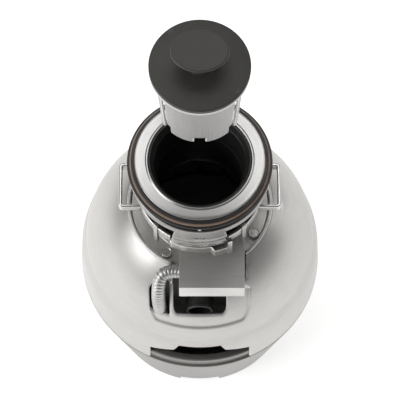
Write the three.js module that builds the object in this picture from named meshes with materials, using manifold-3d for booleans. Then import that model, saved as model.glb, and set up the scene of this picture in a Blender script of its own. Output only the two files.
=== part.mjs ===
// Kitchen garbage disposal, batch-feed type, standing on its casing with the sink flange clamped on
// its neck and the magnetic cover lifted clear of the throat.
// Millimetres. +Z is up, -Y is the front, the origin is the centre of the resting rim.

import * as THREE from 'three';
import { mergeVertices } from 'three/addons/utils/BufferGeometryUtils.js';
import Module from 'manifold-3d';

const wasm = await Module();
wasm.setup();

// ---- Fits -----------------------------------------------------------------------------------
const gap = 0.3;                 // between pieces that touch
const runClearance = 0.5;        // between turning pieces and what they turn in
const slipClearance = 1.0;       // between a piece and the opening that it passes

// ---- Casing ---------------------------------------------------------------------------------
const bodyRadius = 112.8;        // casing at the upper shell's lower edge
const baseRadius = 87.5;         // resting rim
const lowerShellHeight = 124.5;
const shellOverlap = 10.5;       // upper shell comes down this far over the lower one
const bandHeight = 36;           // upright band, from the lower edge to the bead
const beadHeight = 16;
const beadDepth = 4.6;           // the bead narrows the casing by this much
const bandTaper = 2;
const domeRise = 78;
const domeRimMargin = 17.6;      // dome's rim past the neck
const mouthInset = 2;            // dome's rim to the edge of its opening
const shellWall = 1.6;
const ledgeWidth = 7.5;          // lower shell's rim, turned inwards
const notchHalfWidth = 18.8;     // in the foot, for the supply cable
const notchHeight = 16;
const pipeWindowHalfWidth = 46.6; // in the band, for the tailpipe; open at the bottom
const pipeWindowSide = 22.8;
const pipeShoulderHalfWidth = 23.6;
const pipeShoulder = 33.8;
const pipeCrownHalfWidth = 20;
const pipeCrown = 43;

// ---- Neck, mount and sink flange ------------------------------------------------------------
const neckMargin = 3.4;          // neck past the flange's sleeve
const neckHeight = 32;           // container top to the underside of the neck flange
const neckWall = 3.5;
const flangeAboveNeck = 67.5;    // neck flange underside to the top of the sink flange
const flangeRadius = 57.15;      // 4 1/2 in sink flange
const lipMargin = 1.8;           // flange's lip past its sleeve
const sleeveRadius = 43.6;       // fits the 3 1/2 in sink outlet
const sleeveWall = 1.2;
const sleeveLength = 50;
const flangePlate = 1.4;
const stackPlate = 1.6;          // backup flange
const throatRadius = 38.2;
const throatDepth = 38;          // from the flange's top to the throat's narrowest ring
const baffleLength = 85;
const baffleWall = 1.6;
const upperRingMargin = 5.05;    // upper ring past the flange
const upperRingWall = 1.5;
const upperRingDrop = 17.5;      // flange top to the upper ring's plate
const upperTabDrop = 50;         // flange top to the bottom of the ring's tabs
const tabHalfWidth = 22;         // at the top; the tabs widen downwards
const tabFlare = 4.5;
const rampDepth = 1.6;           // rib across each tab, which the lower ring climbs
const rampHeight = 2.5;
const rampLift = 3.5;            // tab's bottom to the rib
const tabSweep = 27;             // degrees either side of a screw
const lowerRingMargin = 9;       // lower ring past the neck
const lowerRingHeight = 13;
const lowerRingWall = 2.2;
const hookWidth = 4.4;
const hookPlate = 2.4;
const hookTurn = 23.6;           // screw to hook, in degrees
const loopReach = 16.3;          // finger loops past the lower ring
const loopHalfLength = 21.5;
const loopBar = 2.5;
const loopEndBar = 2.5;
const catchTurn = 43.5;
const neckFlangePlate = 3.5;
const neckFlangeMargin = 5;
const screwRadius = 1.7;
const screwAngles = [0, 140, 220];

// ---- Cover ----------------------------------------------------------------------------------
const coverLift = 181;           // flange top to the underside of the lifted cover's plate
const coverRadius = 41.2;
const coverPlate = 4;
const coverCrown = 3.5;
const skirtTopRadius = 39.6;
const skirtBottomRadius = 35.5;
const skirtHeight = 66.7;
const skirtWall = 2.2;
const knobLength = 47;
const knobWidth = 37;
const knobThickness = 8.5;
const knobStemRadius = 9.8;
const knobStemHeight = 13.5;
const magnetRadius = 4;
const magnetLength = 5;
const magnetRise = 22;           // skirt's bottom to the magnets

// ---- Grinding chamber and outlets -----------------------------------------------------------
const chamberRadius = 76;
const chamberWall = 3.5;
const containerFlange = 3;
const floorDrop = 6.5;           // lower shell's top to the underside of the chamber's floor
const seamRise = 18;             // crease to the container's seam
const grindRingWall = 6.2;
const grindRingHeight = 25;
const grindSlotCount = 18;
const turntableClearance = 2;
const turntableLift = 40;        // chamber's underside to the turntable
const turntablePlate = 3;
const lugCircle = 40;
const lugPlate = 4;
const lugPinRadius = 3;
const studRadius = 2.4;
const studHeadRadius = 5;
const studHeadHeight = 4;
const studInset = 7.4;           // dome's rim to the studs' circle
const studAngles = [-31.5, 58.5, 148.5, 238.5];
const inletRadius = 11.7;
const inletWall = 1.7;
const inletReach = 89;           // casing's axis to the dishwasher inlet's mouth
const outletRadius = 19.5;
const outletWall = 3;
const outletReach = 97;          // casing's axis to the discharge outlet's mouth
const jacketGap = 0.3;           // container's flange to the insulation
const jacketWall = 2.2;

// ---- Motor ----------------------------------------------------------------------------------
const statorInset = 6;           // chamber to the stator
const statorBore = 38.5;
const statorBottom = 44;
const coilDepth = 15;
const slotCount = 12;
const shaftRadius = 8;
const bearingRadius = 11;
const bearingLength = 7;
const endFramePlate = 10;
const basePlateHeight = 6;
const basePlate = 3;
const buttonRadius = 4.5;
const buttonTravel = 2;
const buttonX = 0;
const buttonY = -46;
const boltRadius = 2.2;
const boltMargin = 3.2;          // stator to the through bolts
const frameMargin = 6.5;         // stator to the end frames' edges

// ---- Switch box and conduit -----------------------------------------------------------------
const boxLeft = -18.5;
const boxRight = 40;
const boxOverhang = 22.3;        // dome's rim to the box's front
const boxHeight = 21;
const boxSheet = 1.8;
const boxAboveContainer = 13.5;  // container top to the box's top face
const traySheet = 1.2;
const conduitRadius = 6.25;
const conduitX = -35;
const conduitY = -83;
const conduitOverhang = 2.9;     // dome's rim to the conduit's axis where it leaves the box
const conduitHoleMargin = 0.8;
const nutLength = 5;
const nutMargin = 1.0;
const nutBore = 4.4;
const pocketHalfWidth = 45.4;    // sunk panel in the dome's front
const pocketDepth = 1.8;
const pocketInset = 3.8;         // crease to the panel's lower edge
const pocketBackMargin = 6.4;    // dome's rim to the panel's back edge
const windowHalfWidth = 24.3;    // in the panel, for the dishwasher inlet
const windowInset = 13.7;        // crease to the window's lower edge
const conduitWindowInset = 10;   // crease to the conduit opening's lower edge

// ---- Levels worked out from the sizes above -------------------------------------------------
const upperEdge = lowerShellHeight - shellOverlap;
const beadLine = upperEdge + bandHeight;
const crease = beadLine + beadHeight;
const domeRim = crease + domeRise;
const neckRadius = sleeveRadius + neckMargin;
const flangeLipRadius = sleeveRadius + lipMargin;
const domeRimRadius = neckRadius + domeRimMargin;
const upperRingRadius = flangeRadius + upperRingMargin;
const lowerRingRadius = neckRadius + lowerRingMargin;
const containerTop = domeRim - 4;
const neckFlange = containerTop + neckHeight;
const flangeTop = neckFlange + flangeAboveNeck;
const creaseRadius = bodyRadius - bandTaper - beadDepth;
const beadRadius = bodyRadius - bandTaper;
const coverUnderside = flangeTop + coverLift;
const chamberFloor = lowerShellHeight - floorDrop;
const containerSeam = crease + seamRise;
const turntableHeight = chamberFloor + turntableLift;
const turntableRadius = chamberRadius - chamberWall - gap - grindRingWall - turntableClearance;
const outletAxis = chamberFloor + chamberWall + outletRadius;
const inletAxis = containerSeam + containerFlange + 1 + inletRadius + gap;
const boxTop = containerTop + boxAboveContainer;
const boxFront = -domeRimRadius - boxOverhang;
const lowerRingTop = neckFlange + lowerRingHeight - 2.1;
const stackPlates = [2.3, 1.2, stackPlate];
const stackMargins = [2.8, 4.2, 6.4];
const stackTop = flangeTop - flangePlate;
const stackBottom = stackPlates.reduce((level, plate) => level - plate - gap, stackTop);
const mountScrewRadius = upperRingRadius - upperRingWall - gap - screwRadius;
const pocketBack = domeRimRadius + pocketBackMargin;
const studCircle = domeRimRadius - studInset;
const statorRadius = chamberRadius - statorInset;
const boltCircle = statorRadius + boltMargin;
const frameRadius = statorRadius + frameMargin;
const lowerFrameTop = statorBottom - coilDepth + slipClearance;
const upperFrameBottom = chamberFloor - gap - endFramePlate;
const statorTop = upperFrameBottom - coilDepth - runClearance;
const conduitEnd = chamberFloor + 4;
const entryY = -domeRimRadius - conduitOverhang;
const entryZ = boxTop - boxSheet - conduitRadius - 1.3;

// ---- Building solids ------------------------------------------------------------------------
const rad = THREE.MathUtils.degToRad;
const fine = 36;                 // sides of the outer shells, the sink flange and what fits it
const medium = 28;               // sides of the cover
const coarse = 20;               // sides of the rings inside the casing
const domeSteps = 6;

// Makes a manifold solid from a closed three.js geometry, with shared corners and faces outward.
function solid(geometry) {
  geometry.deleteAttribute('normal');
  geometry.deleteAttribute('uv');
  const merged = mergeVertices(geometry, 1e-4);
  const position = merged.attributes.position;
  const index = merged.index.array;
  const corners = [];
  for (let i = 0; i < index.length; i += 3) {
    const [a, b, c] = [index[i], index[i + 1], index[i + 2]];
    if (a !== b && b !== c && c !== a) corners.push(a, b, c);
  }
  const at = (i) => new THREE.Vector3().fromBufferAttribute(position, i);
  let volume = 0;
  for (let i = 0; i < corners.length; i += 3) {
    volume += at(corners[i]).dot(at(corners[i + 1]).cross(at(corners[i + 2])));
  }
  if (volume < 0) corners.reverse();
  return new wasm.Manifold(new wasm.Mesh({
    numProp: 3,
    vertProperties: new Float32Array(position.array),
    triVerts: new Uint32Array(corners),
  }));
}

// Turns a closed outline of [radius, height] points about the Z axis.
function lathe(outline, segments = coarse) {
  const points = outline.map(([r, z]) => new THREE.Vector2(r, z));
  const touchesAxis = outline[0][0] === 0 && outline[outline.length - 1][0] === 0;
  if (!touchesAxis) points.push(points[0].clone());
  const geometry = new THREE.LatheGeometry(points, segments);
  geometry.rotateX(Math.PI / 2);
  return solid(geometry);
}

function ring(inner, outer, bottom, top, segments = coarse) {
  return lathe([[inner, bottom], [outer, bottom], [outer, top], [inner, top]], segments);
}

function disc(radius, bottom, top, segments = 12) {
  return lathe([[0, bottom], [radius, bottom], [radius, top], [0, top]], segments);
}

function block(x, y, z) {
  const geometry = new THREE.BoxGeometry(x[1] - x[0], y[1] - y[0], z[1] - z[0]);
  geometry.translate((x[0] + x[1]) / 2, (y[0] + y[1]) / 2, (z[0] + z[1]) / 2);
  return solid(geometry);
}

// Raises a flat outline in X and Y between two heights.
function prism(outline, bottom, top) {
  const shape = new THREE.Shape(outline.map(([x, y]) => new THREE.Vector2(x, y)));
  const geometry = new THREE.ExtrudeGeometry(shape, { depth: top - bottom, bevelEnabled: false });
  geometry.translate(0, 0, bottom);
  return solid(geometry);
}

// Carries a flat outline in X and Z along Y.
function frontPrism(outline, front, back) {
  const shape = new THREE.Shape(outline.map(([x, z]) => new THREE.Vector2(x, z)));
  const geometry = new THREE.ExtrudeGeometry(shape, { depth: back - front, bevelEnabled: false });
  geometry.rotateX(Math.PI / 2);
  geometry.translate(0, back, 0);
  return solid(geometry);
}

// Angles are counted from the front towards +X.
function around(radius, angle) {
  return [radius * Math.sin(rad(angle)), -radius * Math.cos(rad(angle))];
}

function arc(radius, from, to, steps) {
  return Array.from({ length: steps + 1 }, (_, i) => around(radius, from + (to - from) * i / steps));
}

// A piece of a ring between two angles.
function sector(inner, outer, bottom, top, from, to, steps = 6) {
  return prism([...arc(outer, from, to, steps), ...arc(inner, to, from, steps)], bottom, top);
}

// A rod along Y with its round face turned to the front.
function rodY(radius, x, z, back, front, segments = 24) {
  const geometry = new THREE.CylinderGeometry(radius, radius, back - front, segments);
  geometry.translate(x, (back + front) / 2, z);
  return solid(geometry);
}

function rodX(radius, y, z, left, right, segments = 24) {
  const geometry = new THREE.CylinderGeometry(radius, radius, right - left, segments);
  geometry.rotateZ(Math.PI / 2);
  geometry.translate((left + right) / 2, y, z);
  return solid(geometry);
}

function copies(angles, make) {
  return angles.map(make).reduce((all, one) => all.add(one));
}

// Points of the circle centred on the Z axis that passes through two [radius, height] points.
function domeArc([r0, z0], [r1, z1], steps, inset = 0) {
  const centre = (r1 ** 2 - r0 ** 2 + z1 ** 2 - z0 ** 2) / (2 * (z1 - z0));
  const radius = Math.hypot(r0, z0 - centre) - inset;
  const start = Math.asin(Math.min(1, (z0 - centre) / radius));
  const end = Math.asin(Math.min(1, (z1 - centre) / radius));
  return Array.from({ length: steps + 1 }, (_, i) => {
    const turn = start + (end - start) * i / steps;
    return [radius * Math.cos(turn), centre + radius * Math.sin(turn)];
  });
}

const group = new THREE.Group();

function part(name, body, color, roughness, metalness) {
  const mesh = body.getMesh();
  const geometry = new THREE.BufferGeometry();
  geometry.setAttribute('position', new THREE.BufferAttribute(mesh.vertProperties, 3));
  geometry.setIndex(new THREE.BufferAttribute(mesh.triVerts, 1));
  geometry.computeVertexNormals();
  const material = new THREE.MeshStandardMaterial({ color, roughness, metalness });
  const node = new THREE.Mesh(geometry, material);
  node.name = name;
  group.add(node);
}

const steel = (name, body, color = 0xb9b8b5) => part(name, body, color, 0.35, 1);
const castMetal = (name, body, color = 0x8b8b89) => part(name, body, color, 0.55, 0.9);
const black = (name, body, color = 0x161616) => part(name, body, color, 0.7, 0);

// ---- Casing ---------------------------------------------------------------------------------

// Solid of revolution that fills the upper shell, drawn in by an even inset.
function upperShellFill(inset) {
  const dome = domeArc([creaseRadius, crease], [domeRimRadius, domeRim], domeSteps, inset);
  const bottom = inset > 0 ? upperEdge - slipClearance : upperEdge;
  return lathe([
    [0, bottom],
    [bodyRadius - inset, bottom],
    [beadRadius - inset, beadLine],
    [beadRadius - 1.4 - inset, beadLine + beadHeight * 0.45],
    ...dome,
    [0, dome[dome.length - 1][1]],
  ], fine);
}

// The sunk panel in the dome's front, wider and deeper by a margin.
function pocketFill(margin) {
  const halfWidth = pocketHalfWidth + margin;
  const reach = creaseRadius - pocketInset + margin;
  const side = Math.asin(halfWidth / reach) * 180 / Math.PI;
  const back = -pocketBack + margin;
  const outline = [[-halfWidth, back], ...arc(reach, -side, side, 12), [halfWidth, back]];
  const rim = [domeRimRadius, domeRim];
  const floor = domeArc([creaseRadius, crease], rim, domeSteps, pocketDepth + margin);
  const under = lathe([[0, crease], ...floor, [0, floor[floor.length - 1][1]]], fine);
  return prism(outline, crease + 1, domeRim + 1).subtract(under);
}

function upperShell() {
  const outside = upperShellFill(0).subtract(pocketFill(0));
  const inside = upperShellFill(shellWall).subtract(pocketFill(shellWall));
  const mouth = disc(domeRimRadius - mouthInset, containerTop - 20, domeRim + 1, fine);
  const low = crease - 10;
  const high = domeRim + 5;
  const holeEdge = creaseRadius - conduitWindowInset;
  const holeRight = conduitX + conduitRadius + 3 * slipClearance;
  const conduitHole = prism([
    [-pocketHalfWidth, -pocketBack - 3], [-pocketHalfWidth + 3, -pocketBack], [holeRight, -pocketBack],
    [holeRight, -holeEdge + 8], [holeRight - 3, -holeEdge + 4], [-pocketHalfWidth + 2, -holeEdge + 8],
    [-pocketHalfWidth, -holeEdge + 11],
  ], low, high);
  const windowEdge = creaseRadius - windowInset;
  const window = prism([
    [-windowHalfWidth, -pocketBack], [windowHalfWidth, -pocketBack],
    [windowHalfWidth, -windowEdge + 3.5], [windowHalfWidth - 4, -windowEdge],
    [-windowHalfWidth + 4, -windowEdge], [-windowHalfWidth, -windowEdge + 3.5],
  ], low, high);
  const boxLow = boxTop - boxHeight - 3;
  const boxNotch = block([boxLeft - 11, boxRight + 2], [boxFront - 2, -neckRadius], [boxLow, high]);
  const side = (sign) => [
    [sign * pipeWindowHalfWidth, upperEdge - 2], [sign * pipeWindowHalfWidth, upperEdge + pipeWindowSide],
    [sign * pipeShoulderHalfWidth, upperEdge + pipeShoulder],
    [sign * pipeCrownHalfWidth, upperEdge + pipeCrown],
  ];
  const pipeWindow = frontPrism([...side(1), ...side(-1).reverse()], -bodyRadius - 5, -80);
  return outside.subtract(inside).subtract(mouth).subtract(conduitHole).subtract(window)
    .subtract(boxNotch).subtract(pipeWindow).subtract(conduitTube(conduitRadius + slipClearance));
}

function lowerShell() {
  const neckIn = bodyRadius - shellWall - gap - bandTaper * shellOverlap / bandHeight;
  const skirtTop = upperEdge - gap;
  const outline = [
    [baseRadius, 0], [bodyRadius, skirtTop], [neckIn, skirtTop],
    [neckIn, lowerShellHeight - 1], [neckIn - 1, lowerShellHeight],
    [neckIn - ledgeWidth, lowerShellHeight], [neckIn - ledgeWidth, lowerShellHeight - shellWall],
    [neckIn - shellWall, lowerShellHeight - shellWall], [neckIn - shellWall, skirtTop - shellWall],
    [bodyRadius - shellWall, skirtTop - shellWall], [baseRadius - shellWall, 0],
  ];
  const across = [-notchHalfWidth, notchHalfWidth];
  const notch = block(across, [-baseRadius - 20, -baseRadius + 15], [-1, notchHeight]);
  return lathe(outline, fine).subtract(notch);
}

// ---- Cover ----------------------------------------------------------------------------------

function coverTop() {
  const rim = coverUnderside + coverPlate;
  const crown = domeArc([coverRadius - 0.8, rim], [knobStemRadius + 1, rim + coverCrown], 3);
  const plate = lathe([
    [0, coverUnderside], [coverRadius - 0.8, coverUnderside], [coverRadius, coverUnderside + 0.8],
    [coverRadius, rim - 0.8], ...crown, [0, rim + coverCrown],
  ], medium);
  return plate.subtract(disc(screwRadius + gap, coverUnderside - 1, rim + coverCrown + 1));
}

// Oval grip on a round stem, rounded along its edge.
function coverKnob() {
  const foot = coverUnderside + coverPlate + coverCrown + gap;
  const under = foot + knobStemHeight;
  const stem = lathe([
    [0, foot], [knobStemRadius + 1, foot], [knobStemRadius, foot + 1.5],
    [knobStemRadius, under + 2], [0, under + 2],
  ], 24);
  const half = knobLength / 2;
  const grip = new THREE.LatheGeometry([
    [0, 0], [half - 4, 0], [half - 1, knobThickness * 0.35], [half, knobThickness * 0.65],
    [half - 1, knobThickness * 0.9], [half - 3, knobThickness], [0, knobThickness],
  ].map(([r, z]) => new THREE.Vector2(r, z)), medium);
  grip.rotateX(Math.PI / 2);
  grip.scale(1, knobWidth / knobLength, 1);
  grip.translate(0, 0, under);
  const screwHole = disc(screwRadius + gap, foot - 1, under - 2);
  return stem.add(solid(grip)).subtract(screwHole);
}

function knobScrew() {
  const head = coverUnderside - gap;
  const tip = coverUnderside + coverPlate + coverCrown + knobStemHeight - 3;
  return disc(2 * screwRadius, head - 3, head).add(disc(screwRadius, head - 1, tip));
}

function coverSkirt() {
  const top = coverUnderside - gap;
  const bottom = coverUnderside - skirtHeight;
  const wall = lathe([
    [skirtTopRadius - skirtWall, top], [skirtTopRadius, top],
    [skirtBottomRadius, bottom], [skirtBottomRadius - skirtWall, bottom],
  ], medium);
  const sideWindow = sector(20, 50, bottom - 1, top - 8, 60.6, 119.4);
  const slot = (angle) => sector(20, 50, bottom - 1, top - 8, angle, angle + 6.2, 1);
  const step = (from, to) => sector(20, 50, bottom - 1, bottom + 11, from, to, 3);
  const end = block([-4, 4], [-50, 50], [bottom - 1, bottom + 14]);
  let skirt = wall.subtract(end);
  for (const turn of [0, 180]) {
    skirt = skirt.subtract(slot(turn - 53.6)).subtract(slot(turn + 47.4));
    skirt = skirt.subtract(step(turn - 48, turn - 40)).subtract(step(turn + 40, turn + 48));
    skirt = skirt.subtract(sideWindow.rotate([0, 0, turn]));
  }
  const web = ring(20, skirtTopRadius - skirtWall + 0.5, top - 3, top, medium);
  return skirt.add(web);
}

// Seats on the throat's cone when the cover is down.
function coverSeatRing() {
  const top = coverUnderside - gap;
  return ring(skirtTopRadius + gap, coverRadius - 0.2, top - 3.4, top, medium);
}

function coverMagnet(front) {
  const z = coverUnderside - skirtHeight + magnetRise;
  const face = skirtBottomRadius - skirtWall - gap;
  const back = face - magnetLength;
  return front ? rodY(magnetRadius, 0, z, -back, -face, 20) : rodY(magnetRadius, 0, z, face, back, 20);
}

// ---- Sink flange and mount ------------------------------------------------------------------

function sinkFlange() {
  const cone = flangeTop - 6;
  return lathe([
    [flangeRadius - 0.5, flangeTop - flangePlate], [flangeRadius, flangeTop - 0.9],
    [flangeRadius - 0.6, flangeTop - 0.2],
    [flangeRadius - 3, flangeTop], [flangeLipRadius + 0.7, flangeTop], [flangeLipRadius, flangeTop - 0.7],
    [sleeveRadius - sleeveWall, cone], [sleeveRadius - sleeveWall, flangeTop - sleeveLength],
    [sleeveRadius, flangeTop - sleeveLength], [sleeveRadius, cone],
    [flangeLipRadius + flangePlate - 0.4, flangeTop - flangePlate],
  ], fine);
}

// The three rings under the flange, each a little wider than the one above.
function mountStack() {
  const bore = flangeLipRadius + flangePlate + gap;
  let top = flangeTop - flangePlate - gap;
  return stackPlates.map((plate, i) => {
    const layer = ring(bore, flangeRadius + stackMargins[i], top - plate, top, fine);
    top -= plate + gap;
    return layer;
  });
}

function upperMountingRing() {
  const plateTop = flangeTop - upperRingDrop;
  const inner = upperRingRadius - upperRingWall;
  const tabBottom = flangeTop - upperTabDrop;
  let body = ring(sleeveRadius + runClearance, upperRingRadius, plateTop - upperRingWall, plateTop, fine);
  body = body.add(ring(inner, upperRingRadius, plateTop - 7.5, plateTop, fine));
  const ramp = sector(upperRingRadius - 1, upperRingRadius + rampDepth, tabBottom + rampLift,
    tabBottom + rampLift + rampHeight, -tabSweep + rampHeight, tabSweep - rampHeight, 6);
  const tab = sector(inner, upperRingRadius, tabBottom, plateTop - 1, -tabSweep, tabSweep, 6)
    .intersect(tabFace(plateTop, tabBottom)).add(ramp);
  const reach = upperRingRadius + 1;
  const half = screwRadius + 0.9;
  const notch = block([-half, half], [-reach, -reach + 3], [plateTop - 3, plateTop + 1]);
  for (const angle of screwAngles) {
    const [x, y] = around(mountScrewRadius, angle);
    const hole = disc(screwRadius + gap, plateTop - 20, plateTop + 1, 12);
    body = body.add(tab.rotate([0, 0, angle])).subtract(hole.translate([x, y, 0]));
    body = body.subtract(notch.rotate([0, 0, angle]));
  }
  return body;
}

// Front view of a tab: a trapezoid, wider towards the bottom.
function tabFace(top, bottom) {
  const wide = tabHalfWidth + tabFlare;
  const outline = [[-tabHalfWidth, top], [tabHalfWidth, top], [wide, bottom - gap], [-wide, bottom - gap]];
  return frontPrism(outline, -2 * upperRingRadius, 0);
}

function mountScrew(angle) {
  const [x, y] = around(mountScrewRadius, angle);
  const low = flangeTop - upperRingDrop - 17;
  const slot = block([-0.5, 0.5], [-3, 3], [low - 1, low + 1.5]);
  return disc(screwRadius, low, stackBottom - gap, 12).subtract(slot).translate([x, y, 0]);
}

// Split ring in the sleeve's groove, which carries the upper mounting ring.
function snapRing() {
  const top = flangeTop - upperRingDrop - upperRingWall - gap;
  const body = ring(sleeveRadius + gap, sleeveRadius + 3.2, top - 2.6, top, fine);
  return body.subtract(block([-5, 5], [30, 60], [top - 4, top + 1]));
}

function mountingGasket() {
  const bottom = neckFlange + neckFlangePlate + gap;
  const seat = flangeTop - sleeveLength - gap;
  return lathe([
    [throatRadius + baffleWall + 1.3, bottom], [neckRadius + 4, bottom], [neckRadius + 4, seat + 2],
    [neckRadius + 1, seat + 7], [sleeveRadius + gap, seat + 7], [sleeveRadius + gap, seat],
    [throatRadius + baffleWall + 1.3, seat],
  ], fine);
}

function splashBaffle() {
  const ringLevel = flangeTop - throatDepth;
  const bottom = flangeTop - baffleLength;
  const bore = sleeveRadius - sleeveWall - gap;
  return lathe([
    [flangeLipRadius - 0.4, flangeTop - 1.1], [bore, flangeTop - 6.3], [bore, flangeTop - 18],
    [throatRadius + baffleWall, ringLevel], [throatRadius + baffleWall, bottom],
    [throatRadius, bottom], [throatRadius, ringLevel],
    [bore - baffleWall, flangeTop - 7.2], [flangeLipRadius - 1.8, flangeTop - 1.1],
  ], fine);
}

// Pressed ring with three bayonet lobes, two finger loops and two hanging catches.
function lowerMountingRing() {
  const top = lowerRingTop;
  const bottom = top - lowerRingHeight;
  const lobeRadius = upperRingRadius + gap;
  const postRadius = upperRingRadius + rampDepth + runClearance;
  const hookRadius = postRadius + lowerRingWall;
  const outer = (grow) => {
    let body = disc(lowerRingRadius + grow, bottom - grow - 1, top + 1, fine);
    const lobe = sector(throatRadius, lobeRadius + grow, bottom - 1, top + 1, -tabSweep, 12, 6);
    const pocket = sector(throatRadius, hookRadius + grow, bottom - 1, top + 1, 11, 26, 4);
    for (const angle of screwAngles) body = body.add(lobe.add(pocket).rotate([0, 0, angle]));
    return body;
  };
  const wide = [-2 * hookRadius, 2 * hookRadius];
  const slab = block(wide, wide, [bottom, top]);
  const floor = block(wide, wide, [bottom + lowerRingWall, top + 2]);
  let body = outer(0).intersect(slab).subtract(outer(-lowerRingWall).intersect(floor));
  const hookTop = flangeTop - upperTabDrop + rampLift + rampHeight + hookPlate + 2 * gap;
  const half = [-hookWidth / 2, hookWidth / 2];
  const post = block(half, [-hookRadius + 0.4, -postRadius], [bottom + 1, hookTop]);
  const hookDepth = [-hookRadius + 0.4, -upperRingRadius - runClearance];
  const hook = block(half, hookDepth, [hookTop - hookPlate, hookTop]);
  for (const angle of screwAngles) body = body.add(post.add(hook).rotate([0, 0, angle + hookTurn]));
  const catchLevels = [boxTop + slipClearance, top + 6];
  const catchTab = block(half, [-lowerRingRadius - 1.4, -lowerRingRadius + 1], catchLevels);
  for (const side of [-1, 1]) {
    body = body.add(fingerLoop(side, bottom + 4.5, bottom + lowerRingHeight + 0.5));
    body = body.add(catchTab.rotate([0, 0, side * catchTurn]));
  }
  return body.subtract(disc(neckRadius + runClearance + 1, bottom - 1, bottom + lowerRingWall + 1, fine));
}

function fingerLoop(side, bottom, top) {
  const x = (a, b) => (side > 0 ? [a, b] : [-b, -a]);
  const reach = lowerRingRadius + loopReach;
  const half = loopHalfLength;
  const frame = block(x(lowerRingRadius - 4, reach), [-half, half], [bottom, top]);
  const inside = [-half + loopBar, half - loopBar];
  const hole = block(x(lowerRingRadius + 1.4, reach - loopEndBar), inside, [bottom - 1, top + 1]);
  return frame.subtract(hole).subtract(disc(lowerRingRadius - 2, bottom - 1, top + 1, fine));
}

// ---- Container and grinding parts -----------------------------------------------------------
function containerTopPiece() {
  const rim = domeRimRadius - mouthInset - gap;
  const seamOut = chamberRadius + containerFlange;
  const inside = neckRadius - neckWall;
  const flangeOut = neckRadius + neckFlangeMargin;
  const body = lathe([
    [inside, containerTop - 3], [inside, neckFlange + neckFlangePlate],
    [flangeOut, neckFlange + neckFlangePlate], [flangeOut, neckFlange + gap], [neckRadius, neckFlange + gap],
    [neckRadius, containerTop], [rim, containerTop], [rim + 1, containerTop - 12],
    [chamberRadius, containerSeam + 5], [seamOut, containerSeam + 4], [seamOut, containerSeam + gap],
    [chamberRadius - chamberWall, containerSeam + gap], [chamberRadius - chamberWall, containerSeam + 4],
    [rim - 2.5, containerTop - 14], [rim - 3, containerTop - 3],
  ]);
  const holes = copies(studAngles, (angle) => {
    const [x, y] = around(studCircle, angle);
    return disc(studRadius + gap, containerTop - 10, containerTop + 1, 8).translate([x, y, 0]);
  });
  return body.subtract(holes).subtract(rodY(inletRadius - inletWall, 0, inletAxis, -40, -90));
}

function stud(angle) {
  const [x, y] = around(studCircle, angle);
  const foot = containerTop + gap;
  const top = containerTop + studHeadHeight;
  const head = lathe([
    [0, foot], [studHeadRadius, foot], [studHeadRadius, top - 1], [studHeadRadius - 1, top], [0, top],
  ], 16);
  return head.add(disc(studRadius, containerTop - 6, containerTop + 1, 8)).translate([x, y, 0]);
}

function dishwasherInlet() {
  const bore = rodY(inletRadius - inletWall, 0, inletAxis, -50, -100);
  const tube = rodY(inletRadius, 0, inletAxis, -60, -inletReach).subtract(bore);
  const inside = domeRimRadius - mouthInset - gap;
  const shoulder = lathe([
    [0, containerSeam - 30], [chamberRadius + containerFlange + gap, containerSeam - 30],
    [chamberRadius + containerFlange + gap, containerSeam + 4 + gap],
    [chamberRadius + gap, containerSeam + 5 + 2 * gap],
    [inside + 1 + gap, containerTop - 12 + gap], [inside + gap, containerTop + gap], [0, containerTop + gap],
  ]);
  return tube.subtract(shoulder);
}

function grindChamber() {
  const floor = chamberFloor;
  const body = lathe([
    [bearingRadius, floor], [chamberRadius, floor], [chamberRadius, containerSeam - 4],
    [chamberRadius + containerFlange, containerSeam - 3], [chamberRadius + containerFlange, containerSeam],
    [chamberRadius - chamberWall, containerSeam], [chamberRadius - chamberWall, floor + chamberWall],
    [bearingRadius, floor + chamberWall],
  ]);
  const boss = rodY(outletRadius + 6, 0, outletAxis, -chamberRadius + 14, -chamberRadius - 4, medium)
    .subtract(disc(chamberRadius - 1, floor - 30, containerSeam, coarse));
  const trimmed = boss.intersect(block([-60, 60], [-120, 0], [floor, containerSeam]));
  return body.add(trimmed).subtract(rodY(outletRadius - outletWall, 0, outletAxis, -40, -100));
}

function dischargeOutlet() {
  const back = -chamberRadius - 4 - gap;
  const flangePart = rodY(outletRadius + 6, 0, outletAxis, back, back - 4, medium);
  const tube = rodY(outletRadius, 0, outletAxis, back - 1, -outletReach, medium);
  return flangePart.add(tube).subtract(rodY(outletRadius - outletWall, 0, outletAxis, -50, -110, medium));
}

function grindRing() {
  const outer = chamberRadius - chamberWall - gap;
  const inner = turntableRadius + turntableClearance;
  let body = ring(inner, outer, turntableHeight, turntableHeight + grindRingHeight);
  for (let i = 0; i < grindSlotCount; i += 1) {
    const slot = block([-2.2, 2.2], [-inner - 2.5, -inner + 4], [turntableHeight - 1, turntableHeight + 16]);
    body = body.subtract(slot.rotate([0, 0, i * 360 / grindSlotCount]));
  }
  return body;
}

function turntable() {
  const top = turntableHeight + turntablePlate;
  const hub = disc(16, turntableHeight - 18, turntableHeight + 1, 24);
  let body = disc(turntableRadius, turntableHeight, top, coarse).add(hub);
  for (const side of [-1, 1]) {
    body = body.subtract(disc(lugPinRadius + gap, turntableHeight - 1, top + 1, 16)
      .translate([side * lugCircle, 0, 0]));
  }
  return body.subtract(disc(shaftRadius + gap, turntableHeight - 20, top + 1, 24));
}

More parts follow.
